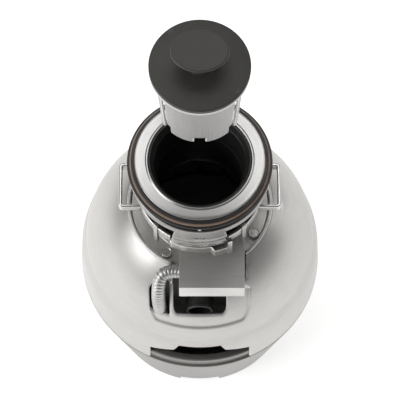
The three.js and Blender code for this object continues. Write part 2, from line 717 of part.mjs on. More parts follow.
// Swivelling lug: a flat bar with its striking edge turned up.
function impeller(side) {
  const bottom = turntableHeight + turntablePlate + gap;
  const bar = block([-12, 22], [-9, 9], [bottom, bottom + lugPlate]);
  const edge = block([15, 22], [-9, 9], [bottom + 3, bottom + 12]);
  const hole = disc(lugPinRadius + 1 + runClearance, bottom - 1, bottom + 14, 20);
  const reach = turntableRadius - lugCircle - slipClearance;
  const lug = bar.add(edge).subtract(hole).intersect(disc(reach, bottom, bottom + 12, 40));
  return lug.rotate([0, 0, side > 0 ? 0 : 180]).translate([side * lugCircle, 0, 0]);
}

function impellerPin(side) {
  const table = turntableHeight;
  const seat = table + turntablePlate + gap;
  const lugTop = seat + lugPlate;
  const pin = disc(lugPinRadius, table - 3, lugTop + 1).add(disc(lugPinRadius + 1, seat, lugTop + 1));
  return pin.add(disc(7, lugTop + gap, lugTop + 2.6)).translate([side * lugCircle, 0, 0]);
}

function turntableNut() {
  const bottom = turntableHeight + turntablePlate + gap;
  const geometry = new THREE.CylinderGeometry(13, 13, 7, 6);
  geometry.rotateX(Math.PI / 2);
  geometry.translate(0, 0, bottom + 3.5);
  return solid(geometry);
}

// Foam sleeve round the chamber and the container, as far as the container's top.
function insulationJacket() {
  const inner = chamberRadius + containerFlange + jacketGap;
  const shoulder = containerSeam + 5;
  const neck = domeRimRadius + 2.2;
  const top = containerTop - 14;
  const body = lathe([
    [inner, chamberFloor + 2], [inner + jacketWall, chamberFloor + 2], [inner + jacketWall, shoulder + 1],
    [neck + jacketWall, top], [neck, top], [inner, shoulder],
  ]);
  return body.subtract(rodY(outletRadius + 8, 0, outletAxis, -50, -120))
    .subtract(rodY(inletRadius + slipClearance, 0, inletAxis, -50, -120));
}

// ---- Motor ----------------------------------------------------------------------------------

function endFrame(bottom) {
  let body = ring(bearingRadius + gap, frameRadius, bottom, bottom + endFramePlate);
  for (const side of [-1, 1]) {
    body = body.subtract(disc(boltRadius + gap, bottom - 1, bottom + endFramePlate + 1, 16)
      .translate([side * boltCircle, 0, 0]));
  }
  return body;
}

function throughBolt(side) {
  const low = lowerFrameTop - endFramePlate;
  const shank = disc(boltRadius, low - 1, upperFrameBottom + endFramePlate - 1, 16);
  return shank.add(disc(2 * boltRadius, low - 4, low - gap, 6)).translate([side * boltCircle, 0, 0]);
}

function coilSlots(grow) {
  const turns = Array.from({ length: slotCount }, (_, i) => i * 360 / slotCount);
  const bar = block([-3.5 - grow, 3.5 + grow], [statorBore + 3 - grow, statorBore + coilDepth + grow],
    [statorBottom - 4, statorTop + 4]);
  return copies(turns, (turn) => bar.rotate([0, 0, turn]));
}

function statorCore() {
  return ring(statorBore, statorRadius, statorBottom, statorTop).subtract(coilSlots(gap));
}

function statorWinding() {
  const turnsRing = (bottom, top) => ring(statorBore + 3, statorBore + coilDepth, bottom, top);
  return coilSlots(0).add(turnsRing(statorTop + 2, statorTop + coilDepth - 3))
    .add(turnsRing(statorBottom - coilDepth + 3, statorBottom - 2));
}

function motorShaft() {
  const socket = new THREE.CylinderGeometry(3.7, 3.7, 12, 6);
  socket.rotateX(Math.PI / 2);
  socket.translate(0, 0, basePlateHeight + basePlate + 6);
  return disc(shaftRadius, basePlateHeight + basePlate + 2, turntableHeight + turntablePlate, 24)
    .subtract(solid(socket));
}

function centrifugalActuator() {
  return ring(shaftRadius + gap, 20, statorBottom - 5, statorBottom - gap, 16);
}

function basePlatePiece() {
  const body = disc(baseRadius - shellWall - gap - 1, basePlateHeight, basePlateHeight + basePlate, fine);
  const [low, high] = [basePlateHeight - 1, basePlateHeight + basePlate + 1];
  const wrenchHole = disc(9, low, high, 24);
  const buttonHole = disc(buttonRadius + runClearance, low, high, 20)
    .translate([buttonX, buttonY, 0]);
  return body.subtract(wrenchHole).subtract(buttonHole);
}

function resetButton() {
  return disc(buttonRadius, 3, basePlateHeight + basePlate + 3, 20).translate([buttonX, buttonY, 0]);
}

function overloadProtector() {
  const bottom = basePlateHeight + basePlate + gap;
  const levels = [bottom, lowerFrameTop - endFramePlate - gap];
  const body = block([buttonX - 14, buttonX + 14], [buttonY - 9, buttonY + 9], levels);
  const bore = disc(buttonRadius + runClearance, bottom - 1, bottom + 3 + buttonTravel, 20);
  return body.subtract(bore.translate([buttonX, buttonY, 0]));
}

function startSwitch() {
  return block([24, 37], [-7, 7], [lowerFrameTop + gap, lowerFrameTop + 8]);
}

// ---- Switch box, sensor and conduit ---------------------------------------------------------
function switchBoxCover() {
  const outside = block([boxLeft, boxRight], [boxFront, -20], [boxTop - boxHeight, boxTop]);
  const inside = block([boxLeft + boxSheet, boxRight - boxSheet], [boxFront + boxSheet, -10],
    [boxTop - boxHeight - 1, boxTop - boxSheet]);
  const back = disc(neckRadius + 4.5, boxTop - boxHeight - 1, boxTop + 1, fine);
  const lipLevels = [boxTop - boxHeight - 1, boxTop - 4];
  const lipEnd = block([boxLeft - 1, boxRight + 1], [-domeRimRadius + 1, 0], lipLevels);
  const entry = rodX(conduitRadius + conduitHoleMargin, entryY, entryZ, boxLeft - 1, boxLeft + 4);
  return outside.subtract(inside).subtract(back).subtract(lipEnd).subtract(entry);
}

function switchBox() {
  const x = [boxLeft + boxSheet + gap, boxRight - boxSheet - gap];
  const y = [boxFront + boxSheet + gap, -domeRimRadius + 0.5];
  const z = [boxTop - boxHeight + 1, boxTop - boxSheet - gap];
  const wall = traySheet;
  const inside = block([x[0] + wall, x[1] - wall], [y[0] + wall, y[1] + 1], [z[0] + wall, z[1] + 1]);
  const entry = rodX(conduitRadius + conduitHoleMargin, entryY, entryZ, x[0] - 1, x[0] + 4);
  return block(x, y, z).subtract(inside).subtract(entry);
}

function reedSwitch() {
  const floor = boxTop - boxHeight + 1 + traySheet + gap;
  return block([0, 26], [boxFront + 7, boxFront + 19], [floor, floor + 9]);
}

// Armoured conduit, from the switch box over the dome and down through the panel to the motor. Its
// route is given as X, Y from the entry, and the drop from the entry.
const conduitRoute = [
  [boxLeft + runClearance, 0, 0], [boxLeft - 5, 0, 0], [-28, -0.5, 0.3], [-32.6, -2.3, 1.6], [-35.6, -6, 5],
  [-36.9, -11, 11.5], [-37.3, -15, 20], [-37, -17.3, 29], [-36.4, -17.4, 41], [-35.6, -16.6, 55],
].map(([x, y, drop]) => new THREE.Vector3(x, entryY + y, entryZ - drop));
conduitRoute.push(new THREE.Vector3(conduitX, conduitY, entryZ - 72));
conduitRoute.push(new THREE.Vector3(conduitX, conduitY, conduitEnd));

function conduitTube(radius) {
  const curve = new THREE.CatmullRomCurve3(conduitRoute, false, 'centripetal');
  const sides = 10;
  const section = new THREE.Shape(Array.from({ length: sides }, (_, i) => {
    const turn = i * 2 * Math.PI / sides;
    return new THREE.Vector2(radius * Math.cos(turn), radius * Math.sin(turn));
  }));
  return solid(new THREE.ExtrudeGeometry(section, { steps: 36, extrudePath: curve, bevelEnabled: false }));
}

function boxConnector() {
  const wall = boxLeft + boxSheet + gap + traySheet + gap;
  const nut = rodX(conduitRadius + nutMargin, entryY, entryZ, wall, wall + nutLength, 16);
  const sleeve = rodX(conduitRadius, entryY, entryZ, boxLeft + runClearance + gap, wall + 1, 16);
  return nut.add(sleeve).subtract(rodX(nutBore, entryY, entryZ, boxLeft - 10, boxLeft + 20, 16));
}

function terminalConnector() {
  const body = ring(nutBore, conduitRadius + nutMargin, conduitEnd - 6, conduitEnd - gap, 16);
  return body.translate([conduitX, conduitY, 0]);
}

function terminalBox() {
  const top = conduitEnd - 6 - gap;
  const front = conduitY - 6.5;
  const body = block([conduitX - 10, conduitX + 9], [front, -frameRadius + 0.5], [top - 36, top]);
  const hollow = [conduitX - 8.5, conduitX + 7.5];
  const inside = block(hollow, [front + 1.5, -frameRadius - 1], [top - 40, top - 1.5]);
  const hole = disc(nutBore, top - 3, top + 1, 16).translate([conduitX, conduitY, 0]);
  return body.subtract(inside).subtract(hole).subtract(disc(frameRadius + gap, 0, 300, fine));
}

// ---- Assembly -------------------------------------------------------------------------------
steel('upper_shell', upperShell(), 0xd9d7d3);
steel('lower_shell', lowerShell(), 0xa5a3a0);
black('cover_top', coverTop(), 0x3f3e3a);
black('cover_knob', coverKnob(), 0x3a3935);
steel('knob_screw', knobScrew());
steel('cover_skirt', coverSkirt(), 0xa09f9c);
steel('cover_seat_ring', coverSeatRing());
castMetal('cover_magnet_front', coverMagnet(true));
castMetal('cover_magnet_rear', coverMagnet(false));
steel('sink_flange', sinkFlange(), 0xc8c7c4);
const [rubberGasket, fibreGasket, backupFlange] = mountStack();
black('rubber_gasket', rubberGasket);
part('fibre_gasket', fibreGasket, 0xb39a85, 0.6, 0);
black('backup_flange', backupFlange, 0x1c1b1a);
steel('upper_mounting_ring', upperMountingRing());
steel('mount_screw_front', mountScrew(0));
steel('mount_screw_right', mountScrew(140));
steel('mount_screw_left', mountScrew(220));
steel('snap_ring', snapRing());
steel('lower_mounting_ring', lowerMountingRing());
black('mounting_gasket', mountingGasket());
black('splash_baffle', splashBaffle(), 0x101010);
castMetal('container_top', containerTopPiece());
studAngles.forEach((angle, i) => steel(`container_stud_${i + 1}`, stud(angle), 0x9a9996));
black('dishwasher_inlet', dishwasherInlet(), 0x1b1b1b);
castMetal('grind_chamber', grindChamber());
black('discharge_outlet', dischargeOutlet());
steel('grind_ring', grindRing());
steel('turntable', turntable());
steel('turntable_nut', turntableNut());
[['right', 1], ['left', -1]].forEach(([name, side]) => {
  steel(`impeller_${name}`, impeller(side));
  steel(`impeller_pin_${name}`, impellerPin(side));
});
black('insulation_jacket', insulationJacket(), 0x1e1e1e);
castMetal('upper_end_frame', endFrame(upperFrameBottom));
castMetal('lower_end_frame', endFrame(lowerFrameTop - endFramePlate));
castMetal('stator_core', statorCore(), 0x5d5f61);
part('stator_winding', statorWinding(), 0xa35a2c, 0.45, 0.7);
const rotorCore = ring(shaftRadius + gap, statorBore - runClearance, statorBottom + 2, statorTop - 2);
castMetal('rotor_core', rotorCore, 0x6a6c6e);
steel('motor_shaft', motorShaft());
const bearing = (low) => ring(shaftRadius + gap, bearingRadius, low, low + bearingLength, 16);
steel('upper_bearing', bearing(upperFrameBottom + 1));
steel('lower_bearing', bearing(lowerFrameTop - bearingLength - 1));
const sealSeat = chamberFloor + chamberWall + gap;
black('shaft_seal', ring(shaftRadius + gap, 15, sealSeat, sealSeat + 4.7, 16));
steel('through_bolt_right', throughBolt(1));
steel('through_bolt_left', throughBolt(-1));
black('centrifugal_actuator', centrifugalActuator(), 0x2b2b2d);
black('start_switch', startSwitch());
black('overload_protector', overloadProtector(), 0x222222);
part('reset_button', resetButton(), 0xa8201a, 0.4, 0);
black('base_plate', basePlatePiece(), 0x202020);
black('terminal_box', terminalBox(), 0x2a2a2a);
steel('switch_box_cover', switchBoxCover(), 0x9b9a97);
steel('switch_box', switchBox(), 0x8d8c89);
black('reed_switch', reedSwitch());
steel('conduit', conduitTube(conduitRadius), 0xc9c9c7);
steel('box_connector', boxConnector());
steel('terminal_connector', terminalConnector());

export default group;
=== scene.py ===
"""Kitchen garbage disposal, standing on its casing with the magnetic cover lifted clear of the throat.
Everything is in the part's frame: +Z is up, -Y is the front, and the origin is the centre of the
resting rim. Shapes are worked out in millimetres and turned to metres when a mesh is made."""

import math

import bmesh
import bpy
import numpy as np
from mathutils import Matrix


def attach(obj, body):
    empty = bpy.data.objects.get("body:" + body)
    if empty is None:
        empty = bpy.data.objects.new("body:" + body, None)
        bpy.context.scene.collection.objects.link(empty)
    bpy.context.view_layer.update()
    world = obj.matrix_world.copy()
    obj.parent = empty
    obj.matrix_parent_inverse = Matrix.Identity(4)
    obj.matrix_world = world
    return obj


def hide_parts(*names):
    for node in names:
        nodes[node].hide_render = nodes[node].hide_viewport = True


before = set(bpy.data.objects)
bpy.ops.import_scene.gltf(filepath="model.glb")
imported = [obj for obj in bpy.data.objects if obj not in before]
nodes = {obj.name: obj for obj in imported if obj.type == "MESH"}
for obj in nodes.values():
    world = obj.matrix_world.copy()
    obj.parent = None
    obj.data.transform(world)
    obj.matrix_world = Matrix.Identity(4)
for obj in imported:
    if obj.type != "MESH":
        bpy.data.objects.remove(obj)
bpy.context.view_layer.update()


# ---- Studio ---------------------------------------------------------------------------------
# A pale floor that reaches past every view, one broad soft light on the left, a long one behind
# and a weak one on the right, so that round metal runs from bright to dark.

scene = bpy.context.scene
scene.view_settings.view_transform = "Standard"


def add_node(tree, kind, sockets=None, **settings):
    """Adds a shader node. A socket given another socket is linked to it; one given a value is set."""
    made = tree.nodes.new(kind)
    for key, value in settings.items():
        setattr(made, key, value)
    for key, value in (sockets or {}).items():
        if isinstance(value, bpy.types.NodeSocket):
            tree.links.new(value, made.inputs[key])
        else:
            made.inputs[key].default_value = value
    return made


def blend_colour(tree, factor, first, second, blend="MIX"):
    """A colour between two, by a factor."""
    mix = add_node(tree, "ShaderNodeMix", data_type="RGBA", blend_type=blend)
    for number, value in ((0, factor), (6, first), (7, second)):
        if isinstance(value, bpy.types.NodeSocket):
            tree.links.new(value, mix.inputs[number])
        else:
            mix.inputs[number].default_value = value
    return mix.outputs[2]


def lay_floor(half_width):
    """One square of floor at height 0, in a pale matt paint with a faint mottle."""
    corners = np.array([(-1, -1), (1, -1), (1, 1), (-1, 1)]) * half_width
    mesh = bpy.data.meshes.new("floor")
    mesh.from_pydata([(x, y, 0) for x, y in corners.tolist()], [], [(0, 1, 2, 3)])
    floor = bpy.data.objects.new("floor", mesh)
    scene.collection.objects.link(floor)
    material = bpy.data.materials.new("floor_paint")
    material.use_nodes = True
    tree = material.node_tree
    place = add_node(tree, "ShaderNodeTexCoord")
    mottle = add_node(tree, "ShaderNodeTexNoise", {"Vector": place.outputs["Object"], "Scale": 3.0})
    paint = blend_colour(tree, mottle.outputs["Fac"], (0.93, 0.93, 0.92, 1), (0.96, 0.96, 0.96, 1))
    shader = tree.nodes["Principled BSDF"]
    tree.links.new(paint, shader.inputs["Base Color"])
    shader.inputs["Roughness"].default_value = 0.9
    shader.inputs["Emission Color"].default_value = (1, 1, 1, 1)
    shader.inputs["Emission Strength"].default_value = 0.70
    mesh.materials.append(material)


def soft_light(name, place, aim, size, power):
    """A square area light at a place in metres, turned to face another."""
    lamp = bpy.data.lights.new(name, "AREA")
    lamp.shape = "RECTANGLE"
    lamp.size, lamp.size_y = size
    lamp.energy = power
    light = bpy.data.objects.new(name, lamp)
    scene.collection.objects.link(light)
    light.location = place
    direction = np.subtract(aim, place)
    light.rotation_euler = (
        math.acos(-direction[2] / np.linalg.norm(direction)), 0.0, math.atan2(-direction[0], direction[1]))
    return light


lay_floor(8.0)
soft_light("key", (-2.2, -0.9, 1.7), (0, 0, 0.25), (1.6, 1.6), 34)
soft_light("rear", (0.0, 1.2, 2.9), (0, 0, 0.3), (2.4, 1.4), 22)
soft_light("edge", (2.3, 0.5, 0.9), (0, 0, 0.3), (0.7, 1.6), 4)
world = bpy.data.worlds.new("studio")
world.use_nodes = True
world.node_tree.nodes["Background"].inputs["Color"].default_value = (1.0, 0.985, 0.965, 1)
world.node_tree.nodes["Background"].inputs["Strength"].default_value = 0.17
scene.world = world

camera = bpy.data.objects.new("camera", bpy.data.cameras.new("camera"))
camera.data.lens = 216
camera.data.sensor_width = 36
camera.data.clip_end = 30
camera.location = (0.0002, -0.8478, 2.2459)
camera.rotation_euler = (math.radians(90 - 67), 0, 0)
scene.collection.objects.link(camera)
scene.camera = camera


# ---- Upper shell ----------------------------------------------------------------------------
# Domed casing, deep-drawn from one sheet of steel and finished in a satin silver: an upright band,
# a bead that narrows it, a dome with a rolled mouth, and a sunk front panel. The panel has a window
# for the dishwasher inlet and one for the conduit, and the band has a window for the tailpipe.

body_radius = 112.8
upper_edge, bead_line, crease, dome_rim = 114.0, 150.0, 166.0, 244.0
dome_rim_radius = 64.6
sheet = 1.2


def soften(outline, cut, steps=5, closed=True):
    """Rounds corners: each becomes a quadratic curve that starts and ends `cut` away from it, or two
    fifths of the way to the next corner, with one more point just outside each end of the curve."""
    corner = np.asarray(outline, float)
    back, on = np.roll(corner, 1, 0) - corner, np.roll(corner, -1, 0) - corner
    back_length = np.linalg.norm(back, axis=1, keepdims=True)
    on_length = np.linalg.norm(on, axis=1, keepdims=True)
    reach = np.minimum(np.broadcast_to(np.reshape(cut, (-1, 1)), back_length.shape),
                       0.4 * np.minimum(back_length, on_length))
    start, end = corner + back / back_length * reach, corner + on / on_length * reach
    t = np.linspace(0, 1, steps)[None, :, None]
    curve = (1 - t) ** 2 * start[:, None] + 2 * t * (1 - t) * corner[:, None] + t ** 2 * end[:, None]
    before = corner + back / back_length * reach * 1.2
    after = corner + on / on_length * reach * 1.2
    runs = np.concatenate([before[:, None], curve, after[:, None]], axis=1)
    if closed:
        return runs.reshape(-1, 2)
    return np.concatenate([corner[:1], runs[1:-1].reshape(-1, 2), corner[-1:]])


def dome_curve(low, high, steps):
    """Points of the circle centred on the Z axis that passes through two (radius, height) points."""
    (r0, z0), (r1, z1) = low, high
    centre = (r1 ** 2 - r0 ** 2 + z1 ** 2 - z0 ** 2) / (2 * (z1 - z0))
    radius = math.hypot(r0, z0 - centre)
    turn = np.linspace(math.asin((z0 - centre) / radius), math.asin((z1 - centre) / radius), steps)
    return np.stack([radius * np.cos(turn), centre + radius * np.sin(turn)], axis=1)


def around(angle, radius, height):
    """Points at an angle from the front towards +X, in radians, at a radius and a height."""
    return np.stack([radius * np.sin(angle), -radius * np.cos(angle), height + 0 * angle], axis=-1)


def ease(value):
    """Smooth step from 0 to 1."""
    value = np.clip(value, 0, 1)
    return value * value * (3 - 2 * value)


def rounded_box(across, along, half_across, half_along, corner):
    """How far inside a rounded rectangle a point lies, negative outside it."""
    a = np.abs(across) - half_across + corner
    b = np.abs(along) - half_along + corner
    outside = np.hypot(np.maximum(a, 0), np.maximum(b, 0))
    return corner - outside - np.minimum(np.maximum(a, b), 0)


def path_of(outline):
    """An outline as functions of the length along it: radius, height, and its outward direction."""
    step = np.concatenate([[0], np.cumsum(np.linalg.norm(np.diff(outline, axis=0), axis=1))])
    fine = np.arange(0, step[-1], 0.1)
    radius, height = np.interp(fine, step, outline[:, 0]), np.interp(fine, step, outline[:, 1])
    out, up = np.gradient(height, fine), -np.gradient(radius, fine)
    return step, lambda s: tuple(np.interp(s, fine, value) for value in (radius, height, out, up))


def grid_faces(index, wrap_u=False, wrap_v=False):
    """Quads between neighbouring grid points; where two corners are one point, a triangle."""
    next_u = np.roll(index, -1, 0) if wrap_u else index[1:]
    this_u = index if wrap_u else index[:-1]
    a, b = (this_u, next_u) if wrap_v else (this_u[:, :-1], next_u[:, :-1])
    d = np.roll(this_u, -1, 1) if wrap_v else this_u[:, 1:]
    c = np.roll(next_u, -1, 1) if wrap_v else next_u[:, 1:]
    quads = np.stack([a, b, c, d], axis=-1).reshape(-1, 4)
    low, high = quads[:, 0] == quads[:, 1], quads[:, 2] == quads[:, 3]
    return [quads[~low & ~high], quads[low & ~high][:, [1, 2, 3]], quads[high & ~low][:, [0, 1, 2]]]


def make_piece(name, points, faces, material, body="root", replaces=(), crisp=38):
    """A mesh in metres from points in millimetres, smooth but for edges sharper than `crisp` degrees."""
    used, index = np.unique(np.concatenate([f.ravel() for f in faces]), return_inverse=True)
    index = index.ravel()
    lists, start = [], 0
    for f in faces:
        lists += index[start:start + f.size].reshape(f.shape).tolist()
        start += f.size
    mesh = bpy.data.meshes.new(name)
    mesh.from_pydata((points[used] * 0.001).tolist(), [], lists)
    mesh.shade_smooth()
    mesh.set_sharp_from_angle(angle=math.radians(crisp))
    mesh.materials.append(material)
    piece = bpy.data.objects.new(name, mesh)
    scene.collection.objects.link(piece)
    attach(piece, body)
    if replaces:
        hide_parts(*replaces)
    return piece


def pressed_sheet(place, u, v, metal=None, thickness=sheet, curl=0.0, closed=True):
    """Sheet metal on a grid. place(u, v) is its outer face and metal(points) is how far inside the
    sheet's edge a point lies. Grid points less than 0.6 of a cell from an edge move on to it, cells
    past it are left out, the edge curls inwards by `curl`, and the inner face is one thickness in."""
    grid_u, grid_v = np.meshgrid(u, v, indexing="ij")
    cell_u, cell_v = np.gradient(u)[:, None], np.gradient(v)[None, :]
    keep = np.ones(grid_u.shape, bool)
    inside = np.full(grid_u.shape, 1e3)
    if metal:
        near = None
        for _ in range(4):
            depth = metal(place(grid_u, grid_v))
            tiny = 0.02
            step_u, step_v = tiny * cell_u, tiny * cell_v
            ahead_u, behind_u = metal(place(grid_u + step_u, grid_v)), metal(place(grid_u - step_u, grid_v))
            ahead_v, behind_v = metal(place(grid_u, grid_v + step_v)), metal(place(grid_u, grid_v - step_v))
            slope_u, slope_v = (ahead_u - behind_u) / (2 * tiny), (ahead_v - behind_v) / (2 * tiny)
            steep = np.maximum(slope_u ** 2 + slope_v ** 2, 1e-9)
            move_u, move_v = -depth * slope_u / steep, -depth * slope_v / steep
            if near is None:
                near = np.hypot(move_u, move_v) < 0.6
            limit = near & (np.hypot(move_u, move_v) < 0.8)
            grid_u = np.where(limit, grid_u + move_u * cell_u, grid_u)
            grid_v = np.clip(np.where(limit, grid_v + move_v * cell_v, grid_v), v[0], v[-1])
        inside = metal(place(grid_u, grid_v))
        keep = inside > -0.1
    points = place(grid_u, grid_v)
    along_u = place(grid_u + 1e-3 * cell_u, grid_v) - place(grid_u - 1e-3 * cell_u, grid_v)
    along_v = place(grid_u, grid_v + 1e-3 * cell_v) - place(grid_u, grid_v - 1e-3 * cell_v)
    normal = np.cross(along_u, along_v)
    normal /= np.maximum(np.linalg.norm(normal, axis=-1, keepdims=True), 1e-12)
    if curl:
        fall = np.clip(1 - np.maximum(inside, 0) / (2 * curl), 0, 1) ** 2
        points = points - normal * (curl * fall)[..., None]
    index = np.arange(grid_u.size).reshape(grid_u.shape)
    quads = grid_faces(index, closed)[0]
    held = keep.ravel()[quads]
    count = held.sum(1)
    whole = quads[count == 4]
    cut = [np.delete(quads[(count == 3) & ~held[:, k]], k, axis=1) for k in range(4)]
    corner = np.concatenate(cut)
    edges = np.concatenate([whole[:, [0, 1]], whole[:, [1, 2]], whole[:, [2, 3]], whole[:, [3, 0]],
                            corner[:, [0, 1]], corner[:, [1, 2]], corner[:, [2, 0]]])
    total = grid_u.size
    ahead, astern = edges[:, 0] * total + edges[:, 1], edges[:, 1] * total + edges[:, 0]
    rim = edges[~np.isin(ahead, astern)]
    side = np.stack([rim[:, 1], rim[:, 0], rim[:, 0] + total, rim[:, 1] + total], axis=1)
    outer, inner = points.reshape(-1, 3), (points - normal * thickness).reshape(-1, 3)
    faces = [whole, corner, whole[:, ::-1] + total, corner[:, ::-1] + total, side]
    return np.concatenate([outer, inner]), [f for f in faces if len(f)]


def angles_with_detail(detail_from, detail_to, fine_step, coarse_step):
    """Angles right round in radians, finer between two of them; all in degrees."""
    fine = np.arange(detail_from, detail_to, fine_step)
    rest = np.arange(detail_to, detail_from + 360 - coarse_step / 2, coarse_step)
    return np.radians(np.concatenate([fine, rest]))


def texture_group(name, turned):
    """Node group of a worked surface. Long grains follow the stretch, which is along X, Y and Z of the
    object, or out, round and up where the piece was turned. Broad mottle varies the tone, and sharp edges
    get a painted highlight."""
    tree = bpy.data.node_groups.new(name, "ShaderNodeTree")
    for socket, kind, value in (
        ("Colour", "NodeSocketColor", (0.6, 0.6, 0.6, 1)),
        ("Dark Colour", "NodeSocketColor", (0.5, 0.5, 0.5, 1)),
        ("Edge Highlight Colour", "NodeSocketColor", (0.8, 0.8, 0.8, 1)), ("Stretch", "NodeSocketVector", (1, 1, 1)),
        ("Mottle Scale", "NodeSocketFloat", 20.0), ("Mottle", "NodeSocketFloat", 0.5),
        ("Edge Highlight Amount", "NodeSocketFloat", 0.5), ("Roughness", "NodeSocketFloat", 0.4),
        ("Roughness Spread", "NodeSocketFloat", 0.15),
    ):
        made = tree.interface.new_socket(socket, in_out="INPUT", socket_type=kind)
        made.default_value = value
    for socket, kind in (
        ("Colour", "NodeSocketColor"), ("Roughness", "NodeSocketFloat"), ("Height", "NodeSocketFloat"),
    ):
        tree.interface.new_socket(socket, in_out="OUTPUT", socket_type=kind)
    given = tree.nodes.new("NodeGroupInput").outputs
    result = tree.nodes.new("NodeGroupOutput")

    def sum_of(operation, first, second):
        return add_node(tree, "ShaderNodeMath", {0: first, 1: second}, operation=operation).outputs[0]

    place = add_node(tree, "ShaderNodeTexCoord").outputs["Object"]
    if turned:
        part = add_node(tree, "ShaderNodeSeparateXYZ", {0: place}).outputs
        radius = sum_of("SQRT", sum_of("ADD", sum_of("MULTIPLY", part["X"], part["X"]),
                                       sum_of("MULTIPLY", part["Y"], part["Y"])), 0.0)
        angle = sum_of("ARCTAN2", part["X"], part["Y"])
        place_grain = add_node(tree, "ShaderNodeCombineXYZ", {0: radius, 1: angle, 2: part["Z"]}).outputs[0]
    else:
        place_grain = place
    grain_at = add_node(tree, "ShaderNodeVectorMath", {0: place_grain, 1: given["Stretch"]},
                        operation="MULTIPLY")
    grain = add_node(tree, "ShaderNodeTexNoise",
                     {"Vector": grain_at.outputs[0], "Scale": 1.0, "Detail": 3.0,
                                                  "Roughness": 0.65}).outputs["Fac"]
    mottle = add_node(tree, "ShaderNodeTexNoise", {"Vector": place, "Scale": given["Mottle Scale"],
                                                   "Detail": 4.0}).outputs["Fac"]
    steady = sum_of("SUBTRACT", 1.0, given["Mottle"])
    tone = sum_of("ADD", sum_of("MULTIPLY", grain, steady), sum_of("MULTIPLY", mottle, given["Mottle"]))
    tone = add_node(tree, "ShaderNodeMapRange",
                    {"Value": tone, "From Min": 0.3, "From Max": 0.7}).outputs[0]
    # Painted highlight: edges that pointiness finds sharp are blended towards the light edge colour, by the
    # edge amount and the mottle.
    pointed = add_node(tree, "ShaderNodeNewGeometry").outputs["Pointiness"]
    edge = add_node(tree, "ShaderNodeMapRange",
                    {"Value": pointed, "From Min": 0.52, "From Max": 0.62}).outputs[0]
    edge = sum_of("MULTIPLY", sum_of("MULTIPLY", edge, given["Edge Highlight Amount"]), sum_of("ADD", mottle, 0.4))
    colour = blend_colour(tree, tone, given["Dark Colour"], given["Colour"])
    colour = blend_colour(tree, edge, colour, given["Edge Highlight Colour"])
    away = sum_of("MULTIPLY", sum_of("SUBTRACT", 0.5, tone), given["Roughness Spread"])
    rough = sum_of("ADD", given["Roughness"], away)
    tree.links.new(colour, result.inputs["Colour"])
    tree.links.new(rough, result.inputs["Roughness"])
    tree.links.new(tone, result.inputs["Height"])
    return tree


straight_grain = texture_group("straight_grain", False)
turned_grain = texture_group("turned_grain", True)


def finish(name, group, colour, dark, edge=None, stretch=(200, 200, 200), mottle_scale=18.0, mottle=0.4,
           edge_highlight_amount=0.5, rough=0.4, spread=0.15, metallic=1.0, bump=0.05, coat=0.0):
    """A material whose colour, roughness and bump come from a grain group; its edge colour and edge amount
    paint a highlight along sharp edges.
    """
    material = bpy.data.materials.new(name)
    material.use_nodes = True
    tree = material.node_tree
    shader = tree.nodes["Principled BSDF"]
    grain = add_node(tree, "ShaderNodeGroup", node_tree=group)
    values = {
        "Colour": (*colour, 1), "Dark Colour": (*dark, 1), "Edge Highlight Colour": (*(edge or colour), 1),
        "Stretch": stretch, "Mottle Scale": mottle_scale, "Mottle": mottle, "Edge Highlight Amount": edge_highlight_amount,
        "Roughness": rough, "Roughness Spread": spread,
    }
    for key, value in values.items():
        grain.inputs[key].default_value = value
    relief = add_node(tree, "ShaderNodeBump", {"Height": grain.outputs["Height"], "Strength": bump,
                                               "Distance": 0.0004})
    tree.links.new(grain.outputs["Colour"], shader.inputs["Base Color"])
    tree.links.new(grain.outputs["Roughness"], shader.inputs["Roughness"])
    tree.links.new(relief.outputs["Normal"], shader.inputs["Normal"])
    shader.inputs["Metallic"].default_value = metallic
    shader.inputs["Coat Weight"].default_value = coat
    return material


satin_silver = finish("satin_silver", turned_grain, (0.60, 0.588, 0.572), (0.55, 0.538, 0.522),
                      (0.90, 0.89, 0.88),
                      stretch=(260, 6, 260), mottle_scale=9, mottle=0.55, edge_highlight_amount=0.5, rough=0.42, spread=0.10,
                      metallic=0.92, bump=0.03)

upper_profile = np.concatenate([
    soften([(body_radius - 0.9, upper_edge), (body_radius, upper_edge + 1.0),
            (body_radius - 2.0, bead_line),
            (body_radius - 3.4, bead_line + 7.2), (body_radius - 6.6, crease)],
           [0.5, 0.8, 0.9, 3.0, 0.5], closed=False),
    dome_curve((body_radius - 6.6, crease), (dome_rim_radius + 2.2, dome_rim - 1.9), 90)[1:],
    soften([(dome_rim_radius + 2.2, dome_rim - 1.9), (dome_rim_radius + 1.2, dome_rim - 1.5),
            (dome_rim_radius + 0.6, dome_rim),
            (dome_rim_radius - 1.8, dome_rim), (dome_rim_radius - 2.2, dome_rim - 3.5)], 0.8,
            closed=False)[1:],
])
upper_step, upper_path = path_of(upper_profile)
pocket_half, pocket_reach, pocket_back, pocket_depth = 45.4, 102.4, 74.0, 1.7


def upper_place(angle, s):
    """Profile point at length s along it, turned by the angle, and sunk inwards by up to the pocket's
    depth, over 1.5 mm, where it lies inside the pocket's outline seen from above."""
    radius, height, out, up = upper_path(s)
    points = around(angle, radius, height)
    across = np.abs(points[..., 0]) - pocket_half + 7
    reach = radius - pocket_reach + 7
    outside = np.hypot(np.maximum(across, 0), np.maximum(reach, 0))
    depth = 7 - outside - np.minimum(np.maximum(across, reach), 0)
    depth = np.minimum(depth, -points[..., 1] - pocket_back)
    sink = pocket_depth * ease(depth / 1.5 + 0.3) * (np.abs(angle) < 1.2)
    return points - around(angle, out * sink, 0) - np.stack([0 * sink, 0 * sink, up * sink], axis=-1)


